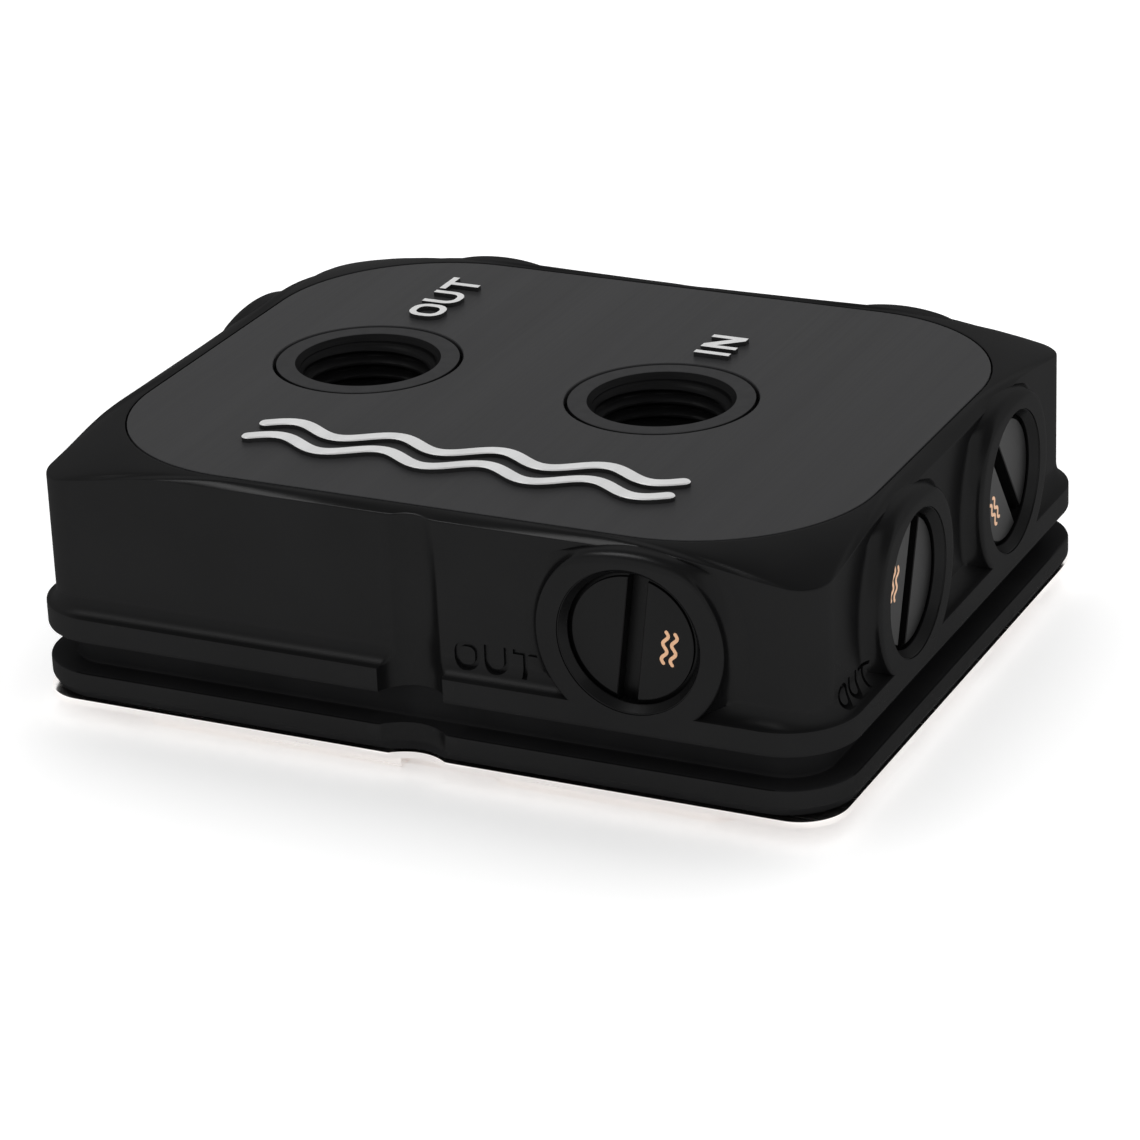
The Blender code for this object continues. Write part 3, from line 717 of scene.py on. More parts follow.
def thread_sleeve(name, centre, ports):
    """The internal thread of a top port: a helical V groove between root and crest."""
    pitch = ports.thread_pitch
    top = Z_TOP - 0.0007
    low = TOP_THREAD_END + 0.0001
    root = THREAD_RADIUS - 0.00003
    rows = int((top - low) / pitch * 12)
    turns = [step / PORT_STEPS for step in range(PORT_STEPS)]

    def ring(radii, z):
        points = []
        for turn, radius in zip(turns, radii):
            angle = 2 * math.pi * turn
            along_x, along_y = radius * math.cos(angle), radius * math.sin(angle)
            points.append(Vector((centre[0] + along_x, centre[1] + along_y, z)))
        return points

    rings = []
    for row in range(rows + 1):
        z = low + (top - low) * row / rows
        fade = min(1.0, (top - z) / pitch + 0.05, (z - low) / pitch + 0.3)
        radii = []
        for turn in turns:
            flank = abs(2 * ((z / pitch - turn) % 1.0) - 1)
            crest = smooth_step((flank - 0.12) / 0.76)
            radii.append(root - ports.thread_depth * crest * fade)
        rings.append(ring(radii, z))
    rings += [ring([root + 0.00002] * PORT_STEPS, z) for z in (top, low)]
    return loft(name, rings, wrap=True)


# Cover plate


def cover_mesh(cover):
    """The cover plate with a fine chamfer along its edge and both port openings."""
    chamfer = cover.edge_chamfer
    hole = TOP_RING_RADIUS + COVER_GAP
    rows = (
        (0.0, Z_COVER),
        (0.0, Z_TOP - chamfer),
        (0.35 * chamfer, Z_TOP - 0.35 * chamfer),
        (chamfer, Z_TOP),
    )
    rings = []
    for inset, z in rows:
        half_x, half_y = COVER_HALF_X - inset, COVER_HALF_Y - inset
        rings.append(outline(half_x, half_y, COVER_CORNER - inset, z, steps=32))
    profile = (
        (hole + chamfer, Z_TOP + 0.001),
        (hole + chamfer, Z_TOP),
        (hole, Z_TOP - chamfer),
        (hole, Z_COVER - 0.001),
    )
    holes = [turned("hole", profile, 128, (*place, 0)) for place in (IN_PORT, OUT_PORT)]
    return combined("cover_plate", loft("cover", rings), [("DIFFERENCE", joined("holes", holes))])


def rounded_line(name, path, width, low, high, edge):
    """A raised line with round ends and a softened top edge, along a path on the cover."""
    first = Vector(path[0]) - Vector(path[1])
    last = Vector(path[-1]) - Vector(path[-2])
    starts = math.degrees(math.atan2(first.y, first.x))
    ends = math.degrees(math.atan2(last.y, last.x))
    rings = []
    for half, z in ((width / 2, low), (width / 2, high - edge), (width / 2 - edge, high)):
        left, right = stroke(path, 2 * half)
        cap_end = arc_path(path[-1], half, ends - 90, ends + 90, 10)[1:-1]
        cap_start = arc_path(path[0], half, starts - 90, starts + 90, 10)[1:-1]
        points = right + cap_end + left[::-1] + cap_start
        rings.append([Vector((x, y, z)) for x, y in points])
    return loft(name, rings)


def wave_path(centre_x, centre_y, span, height, periods, count):
    path = []
    for step in range(count + 1):
        share = step / count
        x = centre_x + span * (share - 0.5)
        y = centre_y + height * math.sin(2 * math.pi * periods * share)
        path.append((x, y))
    return path


def wave_lines(cover):
    """Two raised wave lines in the cover's front field."""
    low, high = Z_TOP - 0.0002, Z_TOP + RELIEF_HEIGHT
    shapes = []
    for side in (-1, 1):
        y = WAVE_CENTRE[1] + side * WAVE_OFFSET
        path = wave_path(WAVE_CENTRE[0], y, WAVE_LENGTH, WAVE_HEIGHT, 4, 96)
        shapes.append(rounded_line("wave", path, WAVE_WIDTH, low, high, cover.relief_edge))
    return joined("cover_waves", shapes)


def port_words(cover):
    """The raised IN and OUT behind the ports, read towards the back."""
    height = cover.letter_height
    weight = cover.letter_weight
    wide = 0.92 * height
    words = (
        ("OUT", (-0.0194, 0.0127), (wide,) * 3, 0.00055),
        ("IN", (0.0117, 0.0124), (weight, wide), 0.0010),
    )
    low, high = -0.0002, RELIEF_HEIGHT - 0.00005
    shapes = []
    for text, place, widths, gap in words:
        corner = Vector((*place, Z_TOP))
        shapes.append(word(text, text, corner, BACK, LEFT, height, widths, gap, weight, low, high))
    return joined("port_words", shapes)


# Plugs


def plug_mesh(plugs):
    """A slotted plug with its face sunk below the boss and +Z outwards."""
    rim = THREAD_RADIUS - 0.00005
    face = -PLUG_SINK
    slope = plugs.rim_slope
    seat = face - PLUG_HEAD
    groove = PLUG_RADIUS - PLUG_GROOVE_DEPTH
    land = seat - PLUG_GROOVE_WIDTH
    end = face - PLUG_LENGTH
    profile = (
        (0.00572, face),
        (0.00578, face - 0.00002),
        (0.00581, face - 0.00008),
        (0.00584, face - 0.6 * slope),
        (rim, face - slope - 0.00005),
        (rim, seat),
        (groove, seat),
        (groove, land),
        (PLUG_RADIUS, land),
        (PLUG_RADIUS, end + PLUG_CHAMFER),
        (PLUG_RADIUS - PLUG_CHAMFER, end),
    )
    half = plugs.slot_width / 2
    ends = ((-0.01, -1), (0.01, -1), (0.01, 1), (-0.01, 1))
    section = (
        (half, face - SLOT_DEPTH),
        (half, face - 0.00008),
        (half + SLOT_EDGE, face),
        (half + SLOT_EDGE, face + 0.001),
    )
    slot = [[Vector((x, side * reach, z)) for x, side in ends] for reach, z in section]
    steps = [("DIFFERENCE", loft("slot", slot))]
    return combined("plug", turned("plug", profile, PORT_STEPS), steps)


def mark_mesh(plugs):
    """Two small wave lines printed beside the slot."""
    low, high = -PLUG_SINK - PRINT_HEIGHT, PRINT_HEIGHT - PLUG_SINK
    shapes = []
    for side in (-1, 1):
        y = side * MARK_OFFSET - plugs.mark_offset
        path = wave_path(0.0, y, plugs.mark_size, MARK_HEIGHT, 2, 32)
        shapes.append(rounded_line("mark", path, MARK_WIDTH, low, high, 0.00002))
    return joined("plug_mark", shapes)


# Cold plate


def cold_plate_mesh(plate):
    """The plated plate: scalloped lip, core, chamfered pad with notches, fins and screw holes."""
    longs = long_shares()
    shorts = short_shares()
    edge = plate.edge_round
    rows = (
        (0.0030, Z_PLATE),
        (FOOT_INSET + edge, Z_PLATE),
        (FOOT_INSET + 0.3 * edge, Z_PLATE + 0.3 * edge),
        (FOOT_INSET, Z_PLATE + edge),
        (FOOT_INSET, Z_LIP - edge),
        (FOOT_INSET + 0.3 * edge, Z_LIP - 0.3 * edge),
        (FOOT_INSET + edge, Z_LIP),
        (0.0030, Z_LIP),
    )
    rings = []
    for inset, z in rows:
        corner = PLATE_CORNER - inset + FOOT_INSET
        row = outline(HALF_X - inset, HALF_Y - inset, corner, z, longs, shorts, 16)
        rings.append([notched(point, 0.00008) for point in row])
    lip = loft("cold_lip", rings)
    core = block("core", 0.0373, 0.03005, 0.0042, Z_CORE_FOOT, Z_CORE, steps=10)
    pad = block("pad", 0.0310, HALF_Y - PAD_INSET, 0.0025, 0.0, Z_CORE_FOOT, steps=1)
    notch = ((-0.0027, -HALF_Y), (0.0099, -HALF_Y), (0.0061, -0.02945), (-0.0027, -0.02945))
    notches = []
    for side in (-1, 1):
        cutter = []
        for z in (-0.001, Z_PLATE):
            cutter.append([Vector((-side * x, -side * y, z)) for x, y in notch])
        notches.append(loft("pad_notch", cutter))
    profile = ((0.0026, -0.001), (0.0026, Z_PLATE), (0.00155, 0.0029), (0.00155, 0.0052))
    sinks = [turned("sink", profile, 32, (x, y, 0)) for x, y in screw_places()]
    steps = [
        ("UNION", core),
        ("UNION", pad),
        ("DIFFERENCE", joined("pad_notches", notches)),
        ("DIFFERENCE", joined("sinks", sinks)),
        ("UNION", fin_comb()),
    ]
    return combined("cold_plate_metal", lip, steps)


def screw_places():
    for side in (-1, 1):
        for row in SCREW_ROWS:
            yield (side * SCREW_LINE, row)


def fin_comb():
    """All fins as one comb-shaped section, drawn out along Y."""
    start = -((FIN_COUNT - 1) * FIN_PITCH + FIN_THICKNESS) / 2
    section = [(start, Z_FIN_ROOT)]
    for index in range(FIN_COUNT):
        left = start + index * FIN_PITCH
        right = left + FIN_THICKNESS
        section += [(left, Z_CORE), (left, Z_FINS), (right, Z_FINS), (right, Z_CORE)]
    section.append((-start, Z_FIN_ROOT))
    ends = (-FIN_HALF_LENGTH, FIN_HALF_LENGTH)
    return loft("fins", [[Vector((x, y, z)) for x, z in section] for y in ends])


def screw_mesh():
    """A countersunk screw with a hexagon socket; its head lies at z = 0 and its tip points up."""
    profile = (
        (0.00222, 0.0),
        (0.0023, 0.00006),
        (0.0023, 0.00012),
        (0.00125, 0.00116),
        (0.00125, 0.0069),
        (0.0007, 0.0075),
    )
    socket = turned("socket", ((0.00087, -0.001), (0.00087, 0.0009)), 6)
    return combined("screw", turned("screw", profile, 48), [("DIFFERENCE", socket)])


# Finishes


def add_node(tree, kind, inputs=None, **settings):
    """A new shader node with its settings and the values of its inputs."""
    node = tree.nodes.new(f"ShaderNode{kind}")
    for name, value in settings.items():
        setattr(node, name, value)
    for name, value in (inputs or {}).items():
        node.inputs[name].default_value = value
    return node


def mask_group(name, inputs, outputs):
    """A new node group with number sockets, and its input and output nodes."""
    group = bpy.data.node_groups.new(name, "ShaderNodeTree")
    kind = "NodeSocketFloat"
    for socket, default in inputs.items():
        made = group.interface.new_socket(name=socket, in_out="INPUT", socket_type=kind)
        made.default_value = default
    for socket in outputs:
        group.interface.new_socket(name=socket, in_out="OUTPUT", socket_type=kind)
    return group, group.nodes.new("NodeGroupInput"), group.nodes.new("NodeGroupOutput")


def add_mask(group, name, source, scale, detail):
    """A noise over the source's coordinates, led out of the group under that name."""
    noise = add_node(group, "TexNoise", {"Scale": scale, "Detail": detail})
    group.links.new(source.outputs[0], noise.inputs["Vector"])
    group.links.new(noise.outputs["Fac"], group.nodes["Group Output"].inputs[name])


def moulding_grain():
    """Node group: slow mottling and fine pits of a moulded or cast surface."""
    found = bpy.data.node_groups.get("Moulding grain")
    if found:
        return found
    group, start, _ = mask_group("Moulding grain", {"Scale": 1.0}, ("Mottle", "Pits"))
    where = add_node(group, "TexCoord")
    sized = add_node(group, "VectorMath", operation="SCALE")
    group.links.new(where.outputs["Object"], sized.inputs[0])
    group.links.new(start.outputs["Scale"], sized.inputs["Scale"])
    add_mask(group, "Mottle", sized, 90.0, 3.0)
    add_mask(group, "Pits", sized, 2600.0, 2.0)
    return group


def brushed_lines():
    """Node group: fine parallel scratches along one axis of the object, and wider bands."""
    found = bpy.data.node_groups.get("Brushed lines")
    if found:
        return found
    across = {"Across X": 3000.0, "Across Y": 30.0, "Across Z": 3000.0}
    group, start, _ = mask_group("Brushed lines", across, ("Lines", "Bands"))
    where = add_node(group, "TexCoord")
    axes = add_node(group, "CombineXYZ")
    stretch = add_node(group, "VectorMath", operation="MULTIPLY")
    wide = add_node(group, "VectorMath", {"Scale": 0.09}, operation="SCALE")
    for axis in "XYZ":
        group.links.new(start.outputs[f"Across {axis}"], axes.inputs[axis])
    group.links.new(where.outputs["Object"], stretch.inputs[0])
    group.links.new(axes.outputs[0], stretch.inputs[1])
    group.links.new(stretch.outputs[0], wide.inputs[0])
    add_mask(group, "Lines", stretch, 1.0, 4.0)
    add_mask(group, "Bands", wide, 1.0, 2.0)
    return group


def shade(colour, factor):
    return tuple(min(value * factor, 1.0) for value in colour)


class Finish:
    """A material under construction, led by the masks of one node group."""

    def __init__(self, name, group, *scales):
        self.material = bpy.data.materials.new(name)
        self.material.use_nodes = True
        self.tree = self.material.node_tree
        self.shader = self.tree.nodes["Principled BSDF"]
        self.masks = add_node(self.tree, "Group", node_tree=group)
        for socket, scale in zip(self.masks.inputs, scales):
            socket.default_value = scale

    def lead(self, source, socket):
        self.tree.links.new(source, self.shader.inputs[socket])

    def constant(self, socket, value):
        self.shader.inputs[socket].default_value = value

    def spread(self, mask, low, high):
        """The middle part of a mask, spread between two values."""
        limits = {"From Min": 0.3, "From Max": 0.7, "To Min": low, "To Max": high}
        ranged = add_node(self.tree, "MapRange", limits)
        self.tree.links.new(self.masks.outputs[mask], ranged.inputs["Value"])
        return ranged.outputs["Result"]

    def tint(self, mask, dark, light):
        """Base colour between two shades."""
        shades = {"A": (*dark, 1.0), "B": (*light, 1.0)}
        mix = add_node(self.tree, "Mix", shades, data_type="RGBA")
        self.tree.links.new(self.spread(mask, 0.0, 1.0), mix.inputs["Factor"])
        self.lead(mix.outputs["Result"], "Base Color")

    def colour(self, mask, base, dark, light):
        """Base colour between two multiples of one colour."""
        self.tint(mask, shade(base, dark), shade(base, light))

    def roughness(self, mask, smooth, rough):
        self.lead(self.spread(mask, smooth, rough), "Roughness")

    def relief(self, mask, distance, strength):
        bump = add_node(self.tree, "Bump", {"Distance": distance, "Strength": strength})
        self.tree.links.new(self.masks.outputs[mask], bump.inputs["Height"])
        self.lead(bump.outputs["Normal"], "Normal")

    def sheet(self, weight, ior, roughness, specular=0.0):
        """A thin gloss in place of the base's own; a high index rises little at flat angles."""
        self.constant("Specular IOR Level", specular)
        self.constant("Coat Weight", weight)
        self.constant("Coat IOR", ior)
        self.constant("Coat Roughness", roughness)


def shared(name, make, *colours):
    """The finish of that name, made at its first use."""
    return bpy.data.materials.get(name) or make(*colours)


def acetal(colours, name, gloss_roughness):
    finish = Finish(name, moulding_grain(), 1.0)
    finish.colour("Mottle", colours.housing, 0.82, 1.2)
    finish.roughness("Mottle", 0.34, 0.44)
    finish.relief("Pits", 0.000010, 0.3)
    finish.sheet(0.056, 2.5, gloss_roughness)
    return finish.material


def faced_acetal(colours):
    finish = Finish("faced_acetal", brushed_lines(), 900.0, 900.0, 9000.0)
    finish.colour("Lines", colours.ring, 0.92, 1.08)
    finish.roughness("Lines", 0.3, 0.4)
    finish.sheet(0.06, 2.5, 0.25)
    return finish.material


def milled_acetal(colours):
    finish = Finish("milled_acetal", moulding_grain(), 2.0)
    finish.colour("Mottle", colours.housing, 2.0, 2.5)
    finish.roughness("Pits", 0.5, 0.6)
    finish.sheet(0.012, 2.5, 0.35)
    return finish.material


def port_acetal(colours):
    finish = Finish("cut_acetal", brushed_lines(), 300.0, 300.0, 9000.0)
    finish.colour("Lines", colours.housing, 1.0, 1.5)
    finish.roughness("Lines", 0.3, 0.42)
    finish.sheet(0.018, 2.5, 0.4)
    return finish.material


def anodised(colours):
    finish = Finish("brushed_black_aluminium", brushed_lines(), 4200.0, 30.0, 4200.0)
    finish.colour("Bands", colours.cover, 0.95, 1.06)
    finish.roughness("Lines", 0.34, 0.40)
    finish.relief("Lines", 0.000005, 0.12)
    finish.constant("Specular IOR Level", 0.02)
    return finish.material


def dark_flank(colours):
    finish = Finish("relief_flank", moulding_grain(), 3.0)
    finish.colour("Mottle", colours.cover, 0.3, 0.6)
    finish.roughness("Pits", 0.4, 0.6)
    finish.constant("Specular IOR Level", 0.2)
    return finish.material


def silver(colours):
    finish = Finish("silver_relief", brushed_lines(), 5200.0, 60.0, 5200.0)
    finish.colour("Bands", colours.relief, 0.95, 1.04)
    finish.roughness("Lines", 0.42, 0.56)
    finish.relief("Lines", 0.000006, 0.2)
    finish.constant("Metallic", 0.55)
    return finish.material


def plug_black(colours):
    finish = Finish("plug_black", moulding_grain(), 1.6)
    finish.colour("Mottle", colours.plug, 0.85, 1.18)
    finish.roughness("Mottle", 0.42, 0.50)
    finish.relief("Pits", 0.000006, 0.2)
    finish.sheet(0.38, 1.4, 0.38, specular=0.01)
    return finish.material


def copper_print(colours):
    finish = Finish("copper_print", moulding_grain(), 3.0)
    finish.colour("Pits", colours.mark, 0.9, 1.08)
    finish.roughness("Pits", 0.35, 0.5)
    finish.constant("Metallic", 0.35)
    return finish.material


def nickel(colours):
    finish = Finish("nickel_plated_copper", brushed_lines(), 60.0, 2400.0, 2400.0)
    finish.colour("Bands", colours.nickel, 0.93, 1.06)
    finish.roughness("Lines", 0.14, 0.28)
    finish.relief("Lines", 0.000006, 0.25)
    finish.constant("Metallic", 1.0)
    return finish.material


def rubber():
    finish = Finish("cord_rubber", moulding_grain(), 2.0)
    finish.tint("Mottle", (0.010, 0.010, 0.010), (0.018, 0.018, 0.018))
    finish.roughness("Pits", 0.62, 0.8)
    finish.relief("Pits", 0.00002, 0.4)
    return finish.material


def stainless():
    finish = Finish("plain_steel", brushed_lines(), 80.0, 4000.0, 4000.0)
    finish.tint("Bands", (0.55, 0.54, 0.53), (0.68, 0.67, 0.66))
    finish.roughness("Lines", 0.22, 0.36)
    finish.relief("Lines", 0.000006, 0.3)
    finish.constant("Metallic", 1.0)
    return finish.material


def finish_node(node, finish):
    """Gives a carried-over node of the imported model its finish."""
    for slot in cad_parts[node].material_slots:
        slot.material = finish


# Settings


def number(name, description, default, precision=2, unit="NONE"):
    return FloatProperty(
        name=name, description=description, default=default, precision=precision, unit=unit
    )


def length(name, description, default, precision=5):
    return number(name, description, default, precision, "LENGTH")


def rotation(name, description, degrees):
    return number(name, description, math.radians(degrees), unit="ROTATION")


def paint(name, description, *default):
    return FloatVectorProperty(
        name=name, description=description, subtype="COLOR", default=default, min=0.0, max=1.0
    )


class HousingShape(PropertyGroup):
    edge_round: length("Edge Rounding", "Rounding of the flange and rib edges", 0.00022)
    arris_round: length(
        "Arris Rounding", "Rounding of the edge between wall and shoulder", 0.00022
    )
    shoulder_crown: number(
        "Shoulder Crown", "Height of the shoulder's bulge as a share of its width", 0.03, 3
    )
    boss_round: length("Boss Rounding", "Rounding of the outer rim of each port boss", 0.00035)
    engraving_depth: length("Engraving Depth", "Depth of the words in the walls", 0.00022)


class PortShape(PropertyGroup):
    thread_pitch: length("Thread Pitch", "Pitch of the G1/4 thread", 0.001337, 6)
    thread_depth: length("Thread Depth", "Depth of the thread from root to crest", 0.00080)


class CoverShape(PropertyGroup):
    edge_chamfer: length("Edge Chamfer", "Chamfer along the cover plate's edges", 0.00008)
    relief_edge: length("Relief Edge", "Softening of the raised lines' top edge", 0.00010)
    letter_height: length("Letter Height", "Height of the letters beside the ports", 0.0036, 4)
    letter_weight: length(
        "Letter Weight", "Stroke width of the letters beside the ports", 0.00068
    )


class PlugShape(PropertyGroup):
    rim_slope: length("Rim Slope", "Depth of the bevelled rim behind the plug's face", 0.00050)
    slot_width: length("Slot Width", "Width of the coin slot", 0.0019, 4)
    mark_size: length("Mark Size", "Length of the wave lines printed on the plug", 0.0030, 4)
    mark_offset: length("Mark Offset", "Distance of the mark from the plug's middle", 0.0035, 4)


class PlateShape(PropertyGroup):
    edge_round: length("Edge Rounding", "Rounding of the metal lip's edges", 0.00008)


class BlockColours(PropertyGroup):
    housing: paint("Housing", "Moulded black of the housing", 0.0054, 0.0054, 0.0056)
    ring: paint("Port Rings", "Black of the machined port rings", 0.030, 0.030, 0.031)
    cover: paint("Cover", "Anodised black of the cover plate", 0.032, 0.032, 0.033)
    relief: paint("Relief", "Silver of the raised lines and letters", 0.70, 0.70, 0.70)
    plug: paint("Plugs", "Black of the plugs", 0.0026, 0.0026, 0.0027)
    mark: paint("Marks", "Copper print on the plugs", 0.78, 0.46, 0.27)
    nickel: paint("Nickel", "Plating of the cold plate", 0.97, 0.92, 0.90)


class StudioSettings(PropertyGroup):
    azimuth: rotation("Azimuth", "Camera direction round the block, from the front", 26.009)
    elevation: rotation("Elevation", "Camera height angle", 23.445)
    roll: rotation("Roll", "Camera roll", -2.356)
    distance: length("Distance", "Camera distance from the aim point", 0.430, 2)
    lens: number("Lens", "Focal length in millimetres on a 36 mm sensor", 141.49)
    world_level: number("World Level", "Level of the even light from all round", 0.86)
    floor_lift: number(
        "Floor Lift", "White added to the floor for the camera and for reflections", 0.24
    )
    key_power: number("Key Power", "Power of the overhead soft light in watts", 0.95)
    gleam_power: number(
        "Gleam Power", "Power of the small light that only reflections show, in watts", 1.0
    )


# Operators


class WATERBLOCK_OT_housing(Operator):
    """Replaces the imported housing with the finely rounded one"""

    bl_idname = "waterblock.housing"
    bl_label = "Housing"

    def execute(self, context):
        colours = context.scene.water_block_colours
        mesh = housing_mesh(context.scene.water_block_housing)
        others = (
            (faced_acetal(colours), on_port_ring),
            (milled_acetal(colours), in_groove),
            (acetal(colours, "matt_acetal", 0.42), on_cove),
            (shared("cut_acetal", port_acetal, colours), in_top_port),
        )
        moulded = acetal(colours, "moulded_acetal", 0.26)
        place("housing_shell", mesh, moulded, ("housing",), others=others)
        return {"FINISHED"}


class WATERBLOCK_OT_threads(Operator):
    """Adds the internal threads of both top ports"""

    bl_idname = "waterblock.threads"
    bl_label = "Port Threads"

    def execute(self, context):
        finish = shared("cut_acetal", port_acetal, context.scene.water_block_colours)
        ports = context.scene.water_block_ports
        for name, centre in (("in_thread", IN_PORT), ("out_thread", OUT_PORT)):
            piece = place(name, thread_sleeve(name, centre, ports), finish)
        return {"FINISHED"}


class WATERBLOCK_OT_cover(Operator):
    """Replaces the cover plate and adds its raised lines and letters"""

    bl_idname = "waterblock.cover"
    bl_label = "Cover Plate"

    def execute(self, context):
        cover = context.scene.water_block_cover
        colours = context.scene.water_block_colours
        light = silver(colours)
        place("cover_plate", cover_mesh(cover), anodised(colours), ("top_plate",))
        flank = ((dark_flank(colours), lambda face: face.normal.z <= 0.5),)
        for name, mesh in (("cover_waves", wave_lines(cover)), ("port_words", port_words(cover))):
            piece = place(name, mesh, light, others=flank)
        return {"FINISHED"}


class WATERBLOCK_OT_plugs(Operator):
    """Replaces the six plugs and prints a mark on each"""

    bl_idname = "waterblock.plugs"
    bl_label = "Plugs"

    def execute(self, context):
        plugs = context.scene.water_block_plugs
        colours = context.scene.water_block_colours
        black = plug_black(colours)
        copper = copper_print(colours)
        seal = shared("cord_rubber", rubber)
        body = plug_mesh(plugs)
        mark = mark_mesh(plugs)
        for name, outward, along, turn in SIDE_PORTS:
            centre, right = port_frame(outward, along)
            axes = Matrix((right, UP, outward)).transposed().to_4x4()
            spin = Matrix.Rotation(math.radians(turn), 4, "Z")
            where = Matrix.Translation(centre) @ axes @ spin
            for kind, mesh, finish in (("plug", body, black), ("mark", mark, copper)):
                own = mesh.copy()
                own.transform(where)
                nodes = (f"plug_{name}",) if kind == "plug" else ()
                piece = place(f"{kind}_{name}_detail", own, finish, nodes)
            finish_node(f"plug_seal_{name}", seal)
        return {"FINISHED"}


class WATERBLOCK_OT_cold_plate(Operator):
    """Replaces the cold plate with softened edges, and finishes the jet plate and the base seal"""

    bl_idname = "waterblock.cold_plate"
    bl_label = "Cold Plate"

    def execute(self, context):
        mesh = cold_plate_mesh(context.scene.water_block_plate)
        place("cold_plate_metal", mesh, nickel(context.scene.water_block_colours), ("cold_plate",))
        finish_node("jet_plate", shared("plain_steel", stainless))
        finish_node("base_seal", shared("cord_rubber", rubber))
        return {"FINISHED"}


class WATERBLOCK_OT_screws(Operator):
    """Replaces the eight base screws"""

    bl_idname = "waterblock.screws"
    bl_label = "Base Screws"

    def execute(self, context):
        steel = shared("plain_steel", stainless)
        screw = screw_mesh()
        for index, (x, y) in enumerate(screw_places()):
            own = screw.copy()
            own.transform(Matrix.Translation((x, y, Z_PLATE)))
            place(f"screw_{index + 1}_detail", own, steel, (f"base_screw_{index + 1}",))
        return {"FINISHED"}


def seen_directly(tree):
    """1 for rays from the camera and for those that glossy or clear surfaces send, else 0."""
    rays = add_node(tree, "LightPath")
    seen = rays.outputs["Is Camera Ray"]
    for kind in ("Is Glossy Ray", "Is Transmission Ray"):
        either = add_node(tree, "Math", operation="MAXIMUM")
        tree.links.new(seen, either.inputs[0])
        tree.links.new(rays.outputs[kind], either.inputs[1])
        seen = either.outputs[0]
    return seen


def pale_surface(name, colour, lift):
    """A white floor that keeps the block's soft shadow; the lift is for what sees it directly."""
    made = bpy.data.materials.new(name)
    made.use_nodes = True
    tree = made.node_tree
    shader = tree.nodes["Principled BSDF"]
    shader.inputs["Roughness"].default_value = 0.9
    shader.inputs["Specular IOR Level"].default_value = 0.0
    shader.inputs["Emission Color"].default_value = (1.0, 1.0, 1.0, 1.0)
    grain = add_node(tree, "TexNoise", {"Scale": 40.0})
    shades = {"A": (*shade(colour, 0.995), 1.0), "B": (*colour, 1.0)}
    mix = add_node(tree, "Mix", shades, data_type="RGBA")
    tree.links.new(grain.outputs["Fac"], mix.inputs["Factor"])
    tree.links.new(mix.outputs["Result"], shader.inputs["Base Color"])
    strength = add_node(tree, "MapRange", {"To Min": 0.0, "To Max": lift})
    tree.links.new(seen_directly(tree), strength.inputs["Value"])
    tree.links.new(strength.outputs["Result"], shader.inputs["Emission Strength"])
    return made


def soft_light(name, size, power, location):
    light = bpy.data.lights.new(name, "AREA")
    light.shape = "RECTANGLE"
    light.size, light.size_y = size
    light.energy = power
    lamp = bpy.data.objects.new(name, light)
    bpy.context.scene.collection.objects.link(lamp)
    direction = Vector(LIGHT_AIM) - Vector(location)
    lamp.location = location
    lamp.rotation_euler = direction.to_track_quat("-Z", "Y").to_euler()
    return lamp


def white_world(level):
    """White with a dim ceiling to the camera, gloss and transmission; plain fill otherwise."""
    world = bpy.data.worlds.new("studio")
    bpy.context.scene.world = world
    world.use_nodes = True
    tree = world.node_tree
    background = tree.nodes["Background"]
    background.inputs["Color"].default_value = (1.0, 1.0, 1.0, 1.0)
    direction = add_node(tree, "TexCoord")
    height = add_node(tree, "SeparateXYZ")
    limits = {"From Min": 0.5, "From Max": 0.92, "To Min": 1.0, "To Max": 0.15}
    ceiling = add_node(tree, "MapRange", limits, interpolation_type="SMOOTHSTEP")
    strength = add_node(tree, "MapRange", {"To Min": level})
    tree.links.new(direction.outputs["Generated"], height.inputs[0])
    tree.links.new(height.outputs["Z"], ceiling.inputs["Value"])
    tree.links.new(ceiling.outputs["Result"], strength.inputs["To Max"])
    tree.links.new(seen_directly(tree), strength.inputs["Value"])
    tree.links.new(strength.outputs["Result"], background.inputs["Strength"])


def studio_camera(studio):
    azimuth, elevation, roll = studio.azimuth, studio.elevation, studio.roll
    back = Vector(
        (
            math.sin(azimuth) * math.cos(elevation),
            -math.cos(azimuth) * math.cos(elevation),
            math.sin(elevation),
        )
    )
    level = (-back).cross(UP).normalized()
    upward = level.cross(-back)
    right = math.cos(roll) * level + math.sin(roll) * upward
    top = math.cos(roll) * upward - math.sin(roll) * level
    data = bpy.data.cameras.new("camera")
    data.sensor_width = 36.0
    data.lens = studio.lens
    data.clip_start = 0.01
    data.clip_end = 20.0
    camera = bpy.data.objects.new("camera", data)
    bpy.context.scene.collection.objects.link(camera)
    pose = Matrix((right, top, back)).transposed().to_4x4()
    pose.translation = back * studio.distance + right * CAMERA_SHIFT[0] + top * CAMERA_SHIFT[1]
    camera.matrix_world = pose
    bpy.context.scene.camera = camera


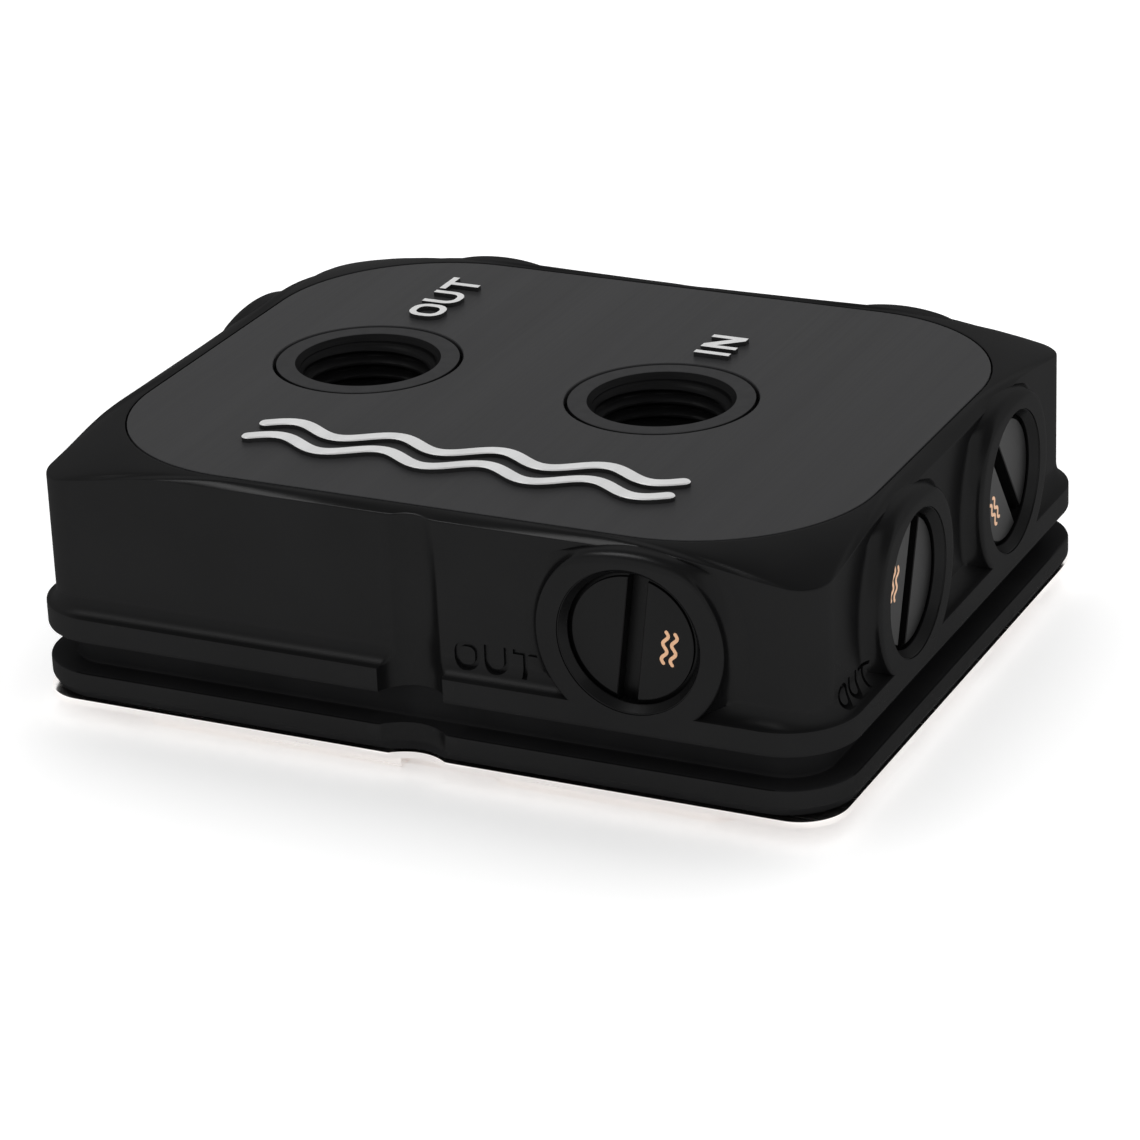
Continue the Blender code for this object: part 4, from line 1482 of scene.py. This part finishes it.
class WATERBLOCK_OT_studio(Operator):
    """Lays the floor and sets up the lights, the background and the camera"""

    bl_idname = "waterblock.studio"
    bl_label = "Studio"

    def execute(self, context):
        studio = context.scene.water_block_studio
        floor = bpy.data.objects.new("floor", block("floor", 3.0, 3.0, 0.5, -0.01, 0.0, steps=8))
        context.scene.collection.objects.link(floor)
        floor.data.materials.append(pale_surface("pale_floor", (1.0, 1.0, 1.0), studio.floor_lift))
        white_world(studio.world_level)
        key = soft_light("key", (0.6, 0.5), studio.key_power, (0.0, 0.35, 0.70))
        key.visible_glossy = False
        gleam = soft_light("gleam", (0.2, 0.2), studio.gleam_power, (-0.26, -0.08, 0.60))
        gleam.visible_diffuse = False
        studio_camera(studio)
        context.scene.view_settings.view_transform = "Standard"
        return {"FINISHED"}


class WATERBLOCK_PT_panel(Panel):
    """Lists the block's sizes, colours and steps"""

    bl_label = "Water Block"
    bl_idname = "WATERBLOCK_PT_panel"
    bl_space_type = "VIEW_3D"
    bl_region_type = "UI"
    bl_category = "Water Block"

    def draw(self, context):
        layout = self.layout
        for settings in SETTINGS:
            group = getattr(context.scene, settings)
            box = layout.box()
            for name in group.__annotations__:
                box.prop(group, name)
        for step in STEPS:
            layout.operator(step.bl_idname)


SETTINGS = {
    "water_block_housing": HousingShape,
    "water_block_ports": PortShape,
    "water_block_cover": CoverShape,
    "water_block_plugs": PlugShape,
    "water_block_plate": PlateShape,
    "water_block_colours": BlockColours,
    "water_block_studio": StudioSettings,
}

STEPS = (
    WATERBLOCK_OT_housing,
    WATERBLOCK_OT_threads,
    WATERBLOCK_OT_cover,
    WATERBLOCK_OT_plugs,
    WATERBLOCK_OT_cold_plate,
    WATERBLOCK_OT_screws,
    WATERBLOCK_OT_studio,
)


def register():
    for settings in SETTINGS.values():
        bpy.utils.register_class(settings)
    for step in STEPS:
        bpy.utils.register_class(step)
    bpy.utils.register_class(WATERBLOCK_PT_panel)
    for name, settings in SETTINGS.items():
        setattr(bpy.types.Scene, name, PointerProperty(type=settings))


def unregister():
    for name in SETTINGS:
        delattr(bpy.types.Scene, name)
    bpy.utils.unregister_class(WATERBLOCK_PT_panel)
    for step in reversed(STEPS):
        bpy.utils.unregister_class(step)
    for settings in reversed(list(SETTINGS.values())):
        bpy.utils.unregister_class(settings)


def main():
    register()
    for step in STEPS:
        family, name = step.bl_idname.split(".")
        result = getattr(getattr(bpy.ops, family), name)()
        if result != {"FINISHED"}:
            raise RuntimeError(f"{step.bl_label} didn't finish")
    bpy.context.view_layer.update()


if __name__ == "__main__":
    main()
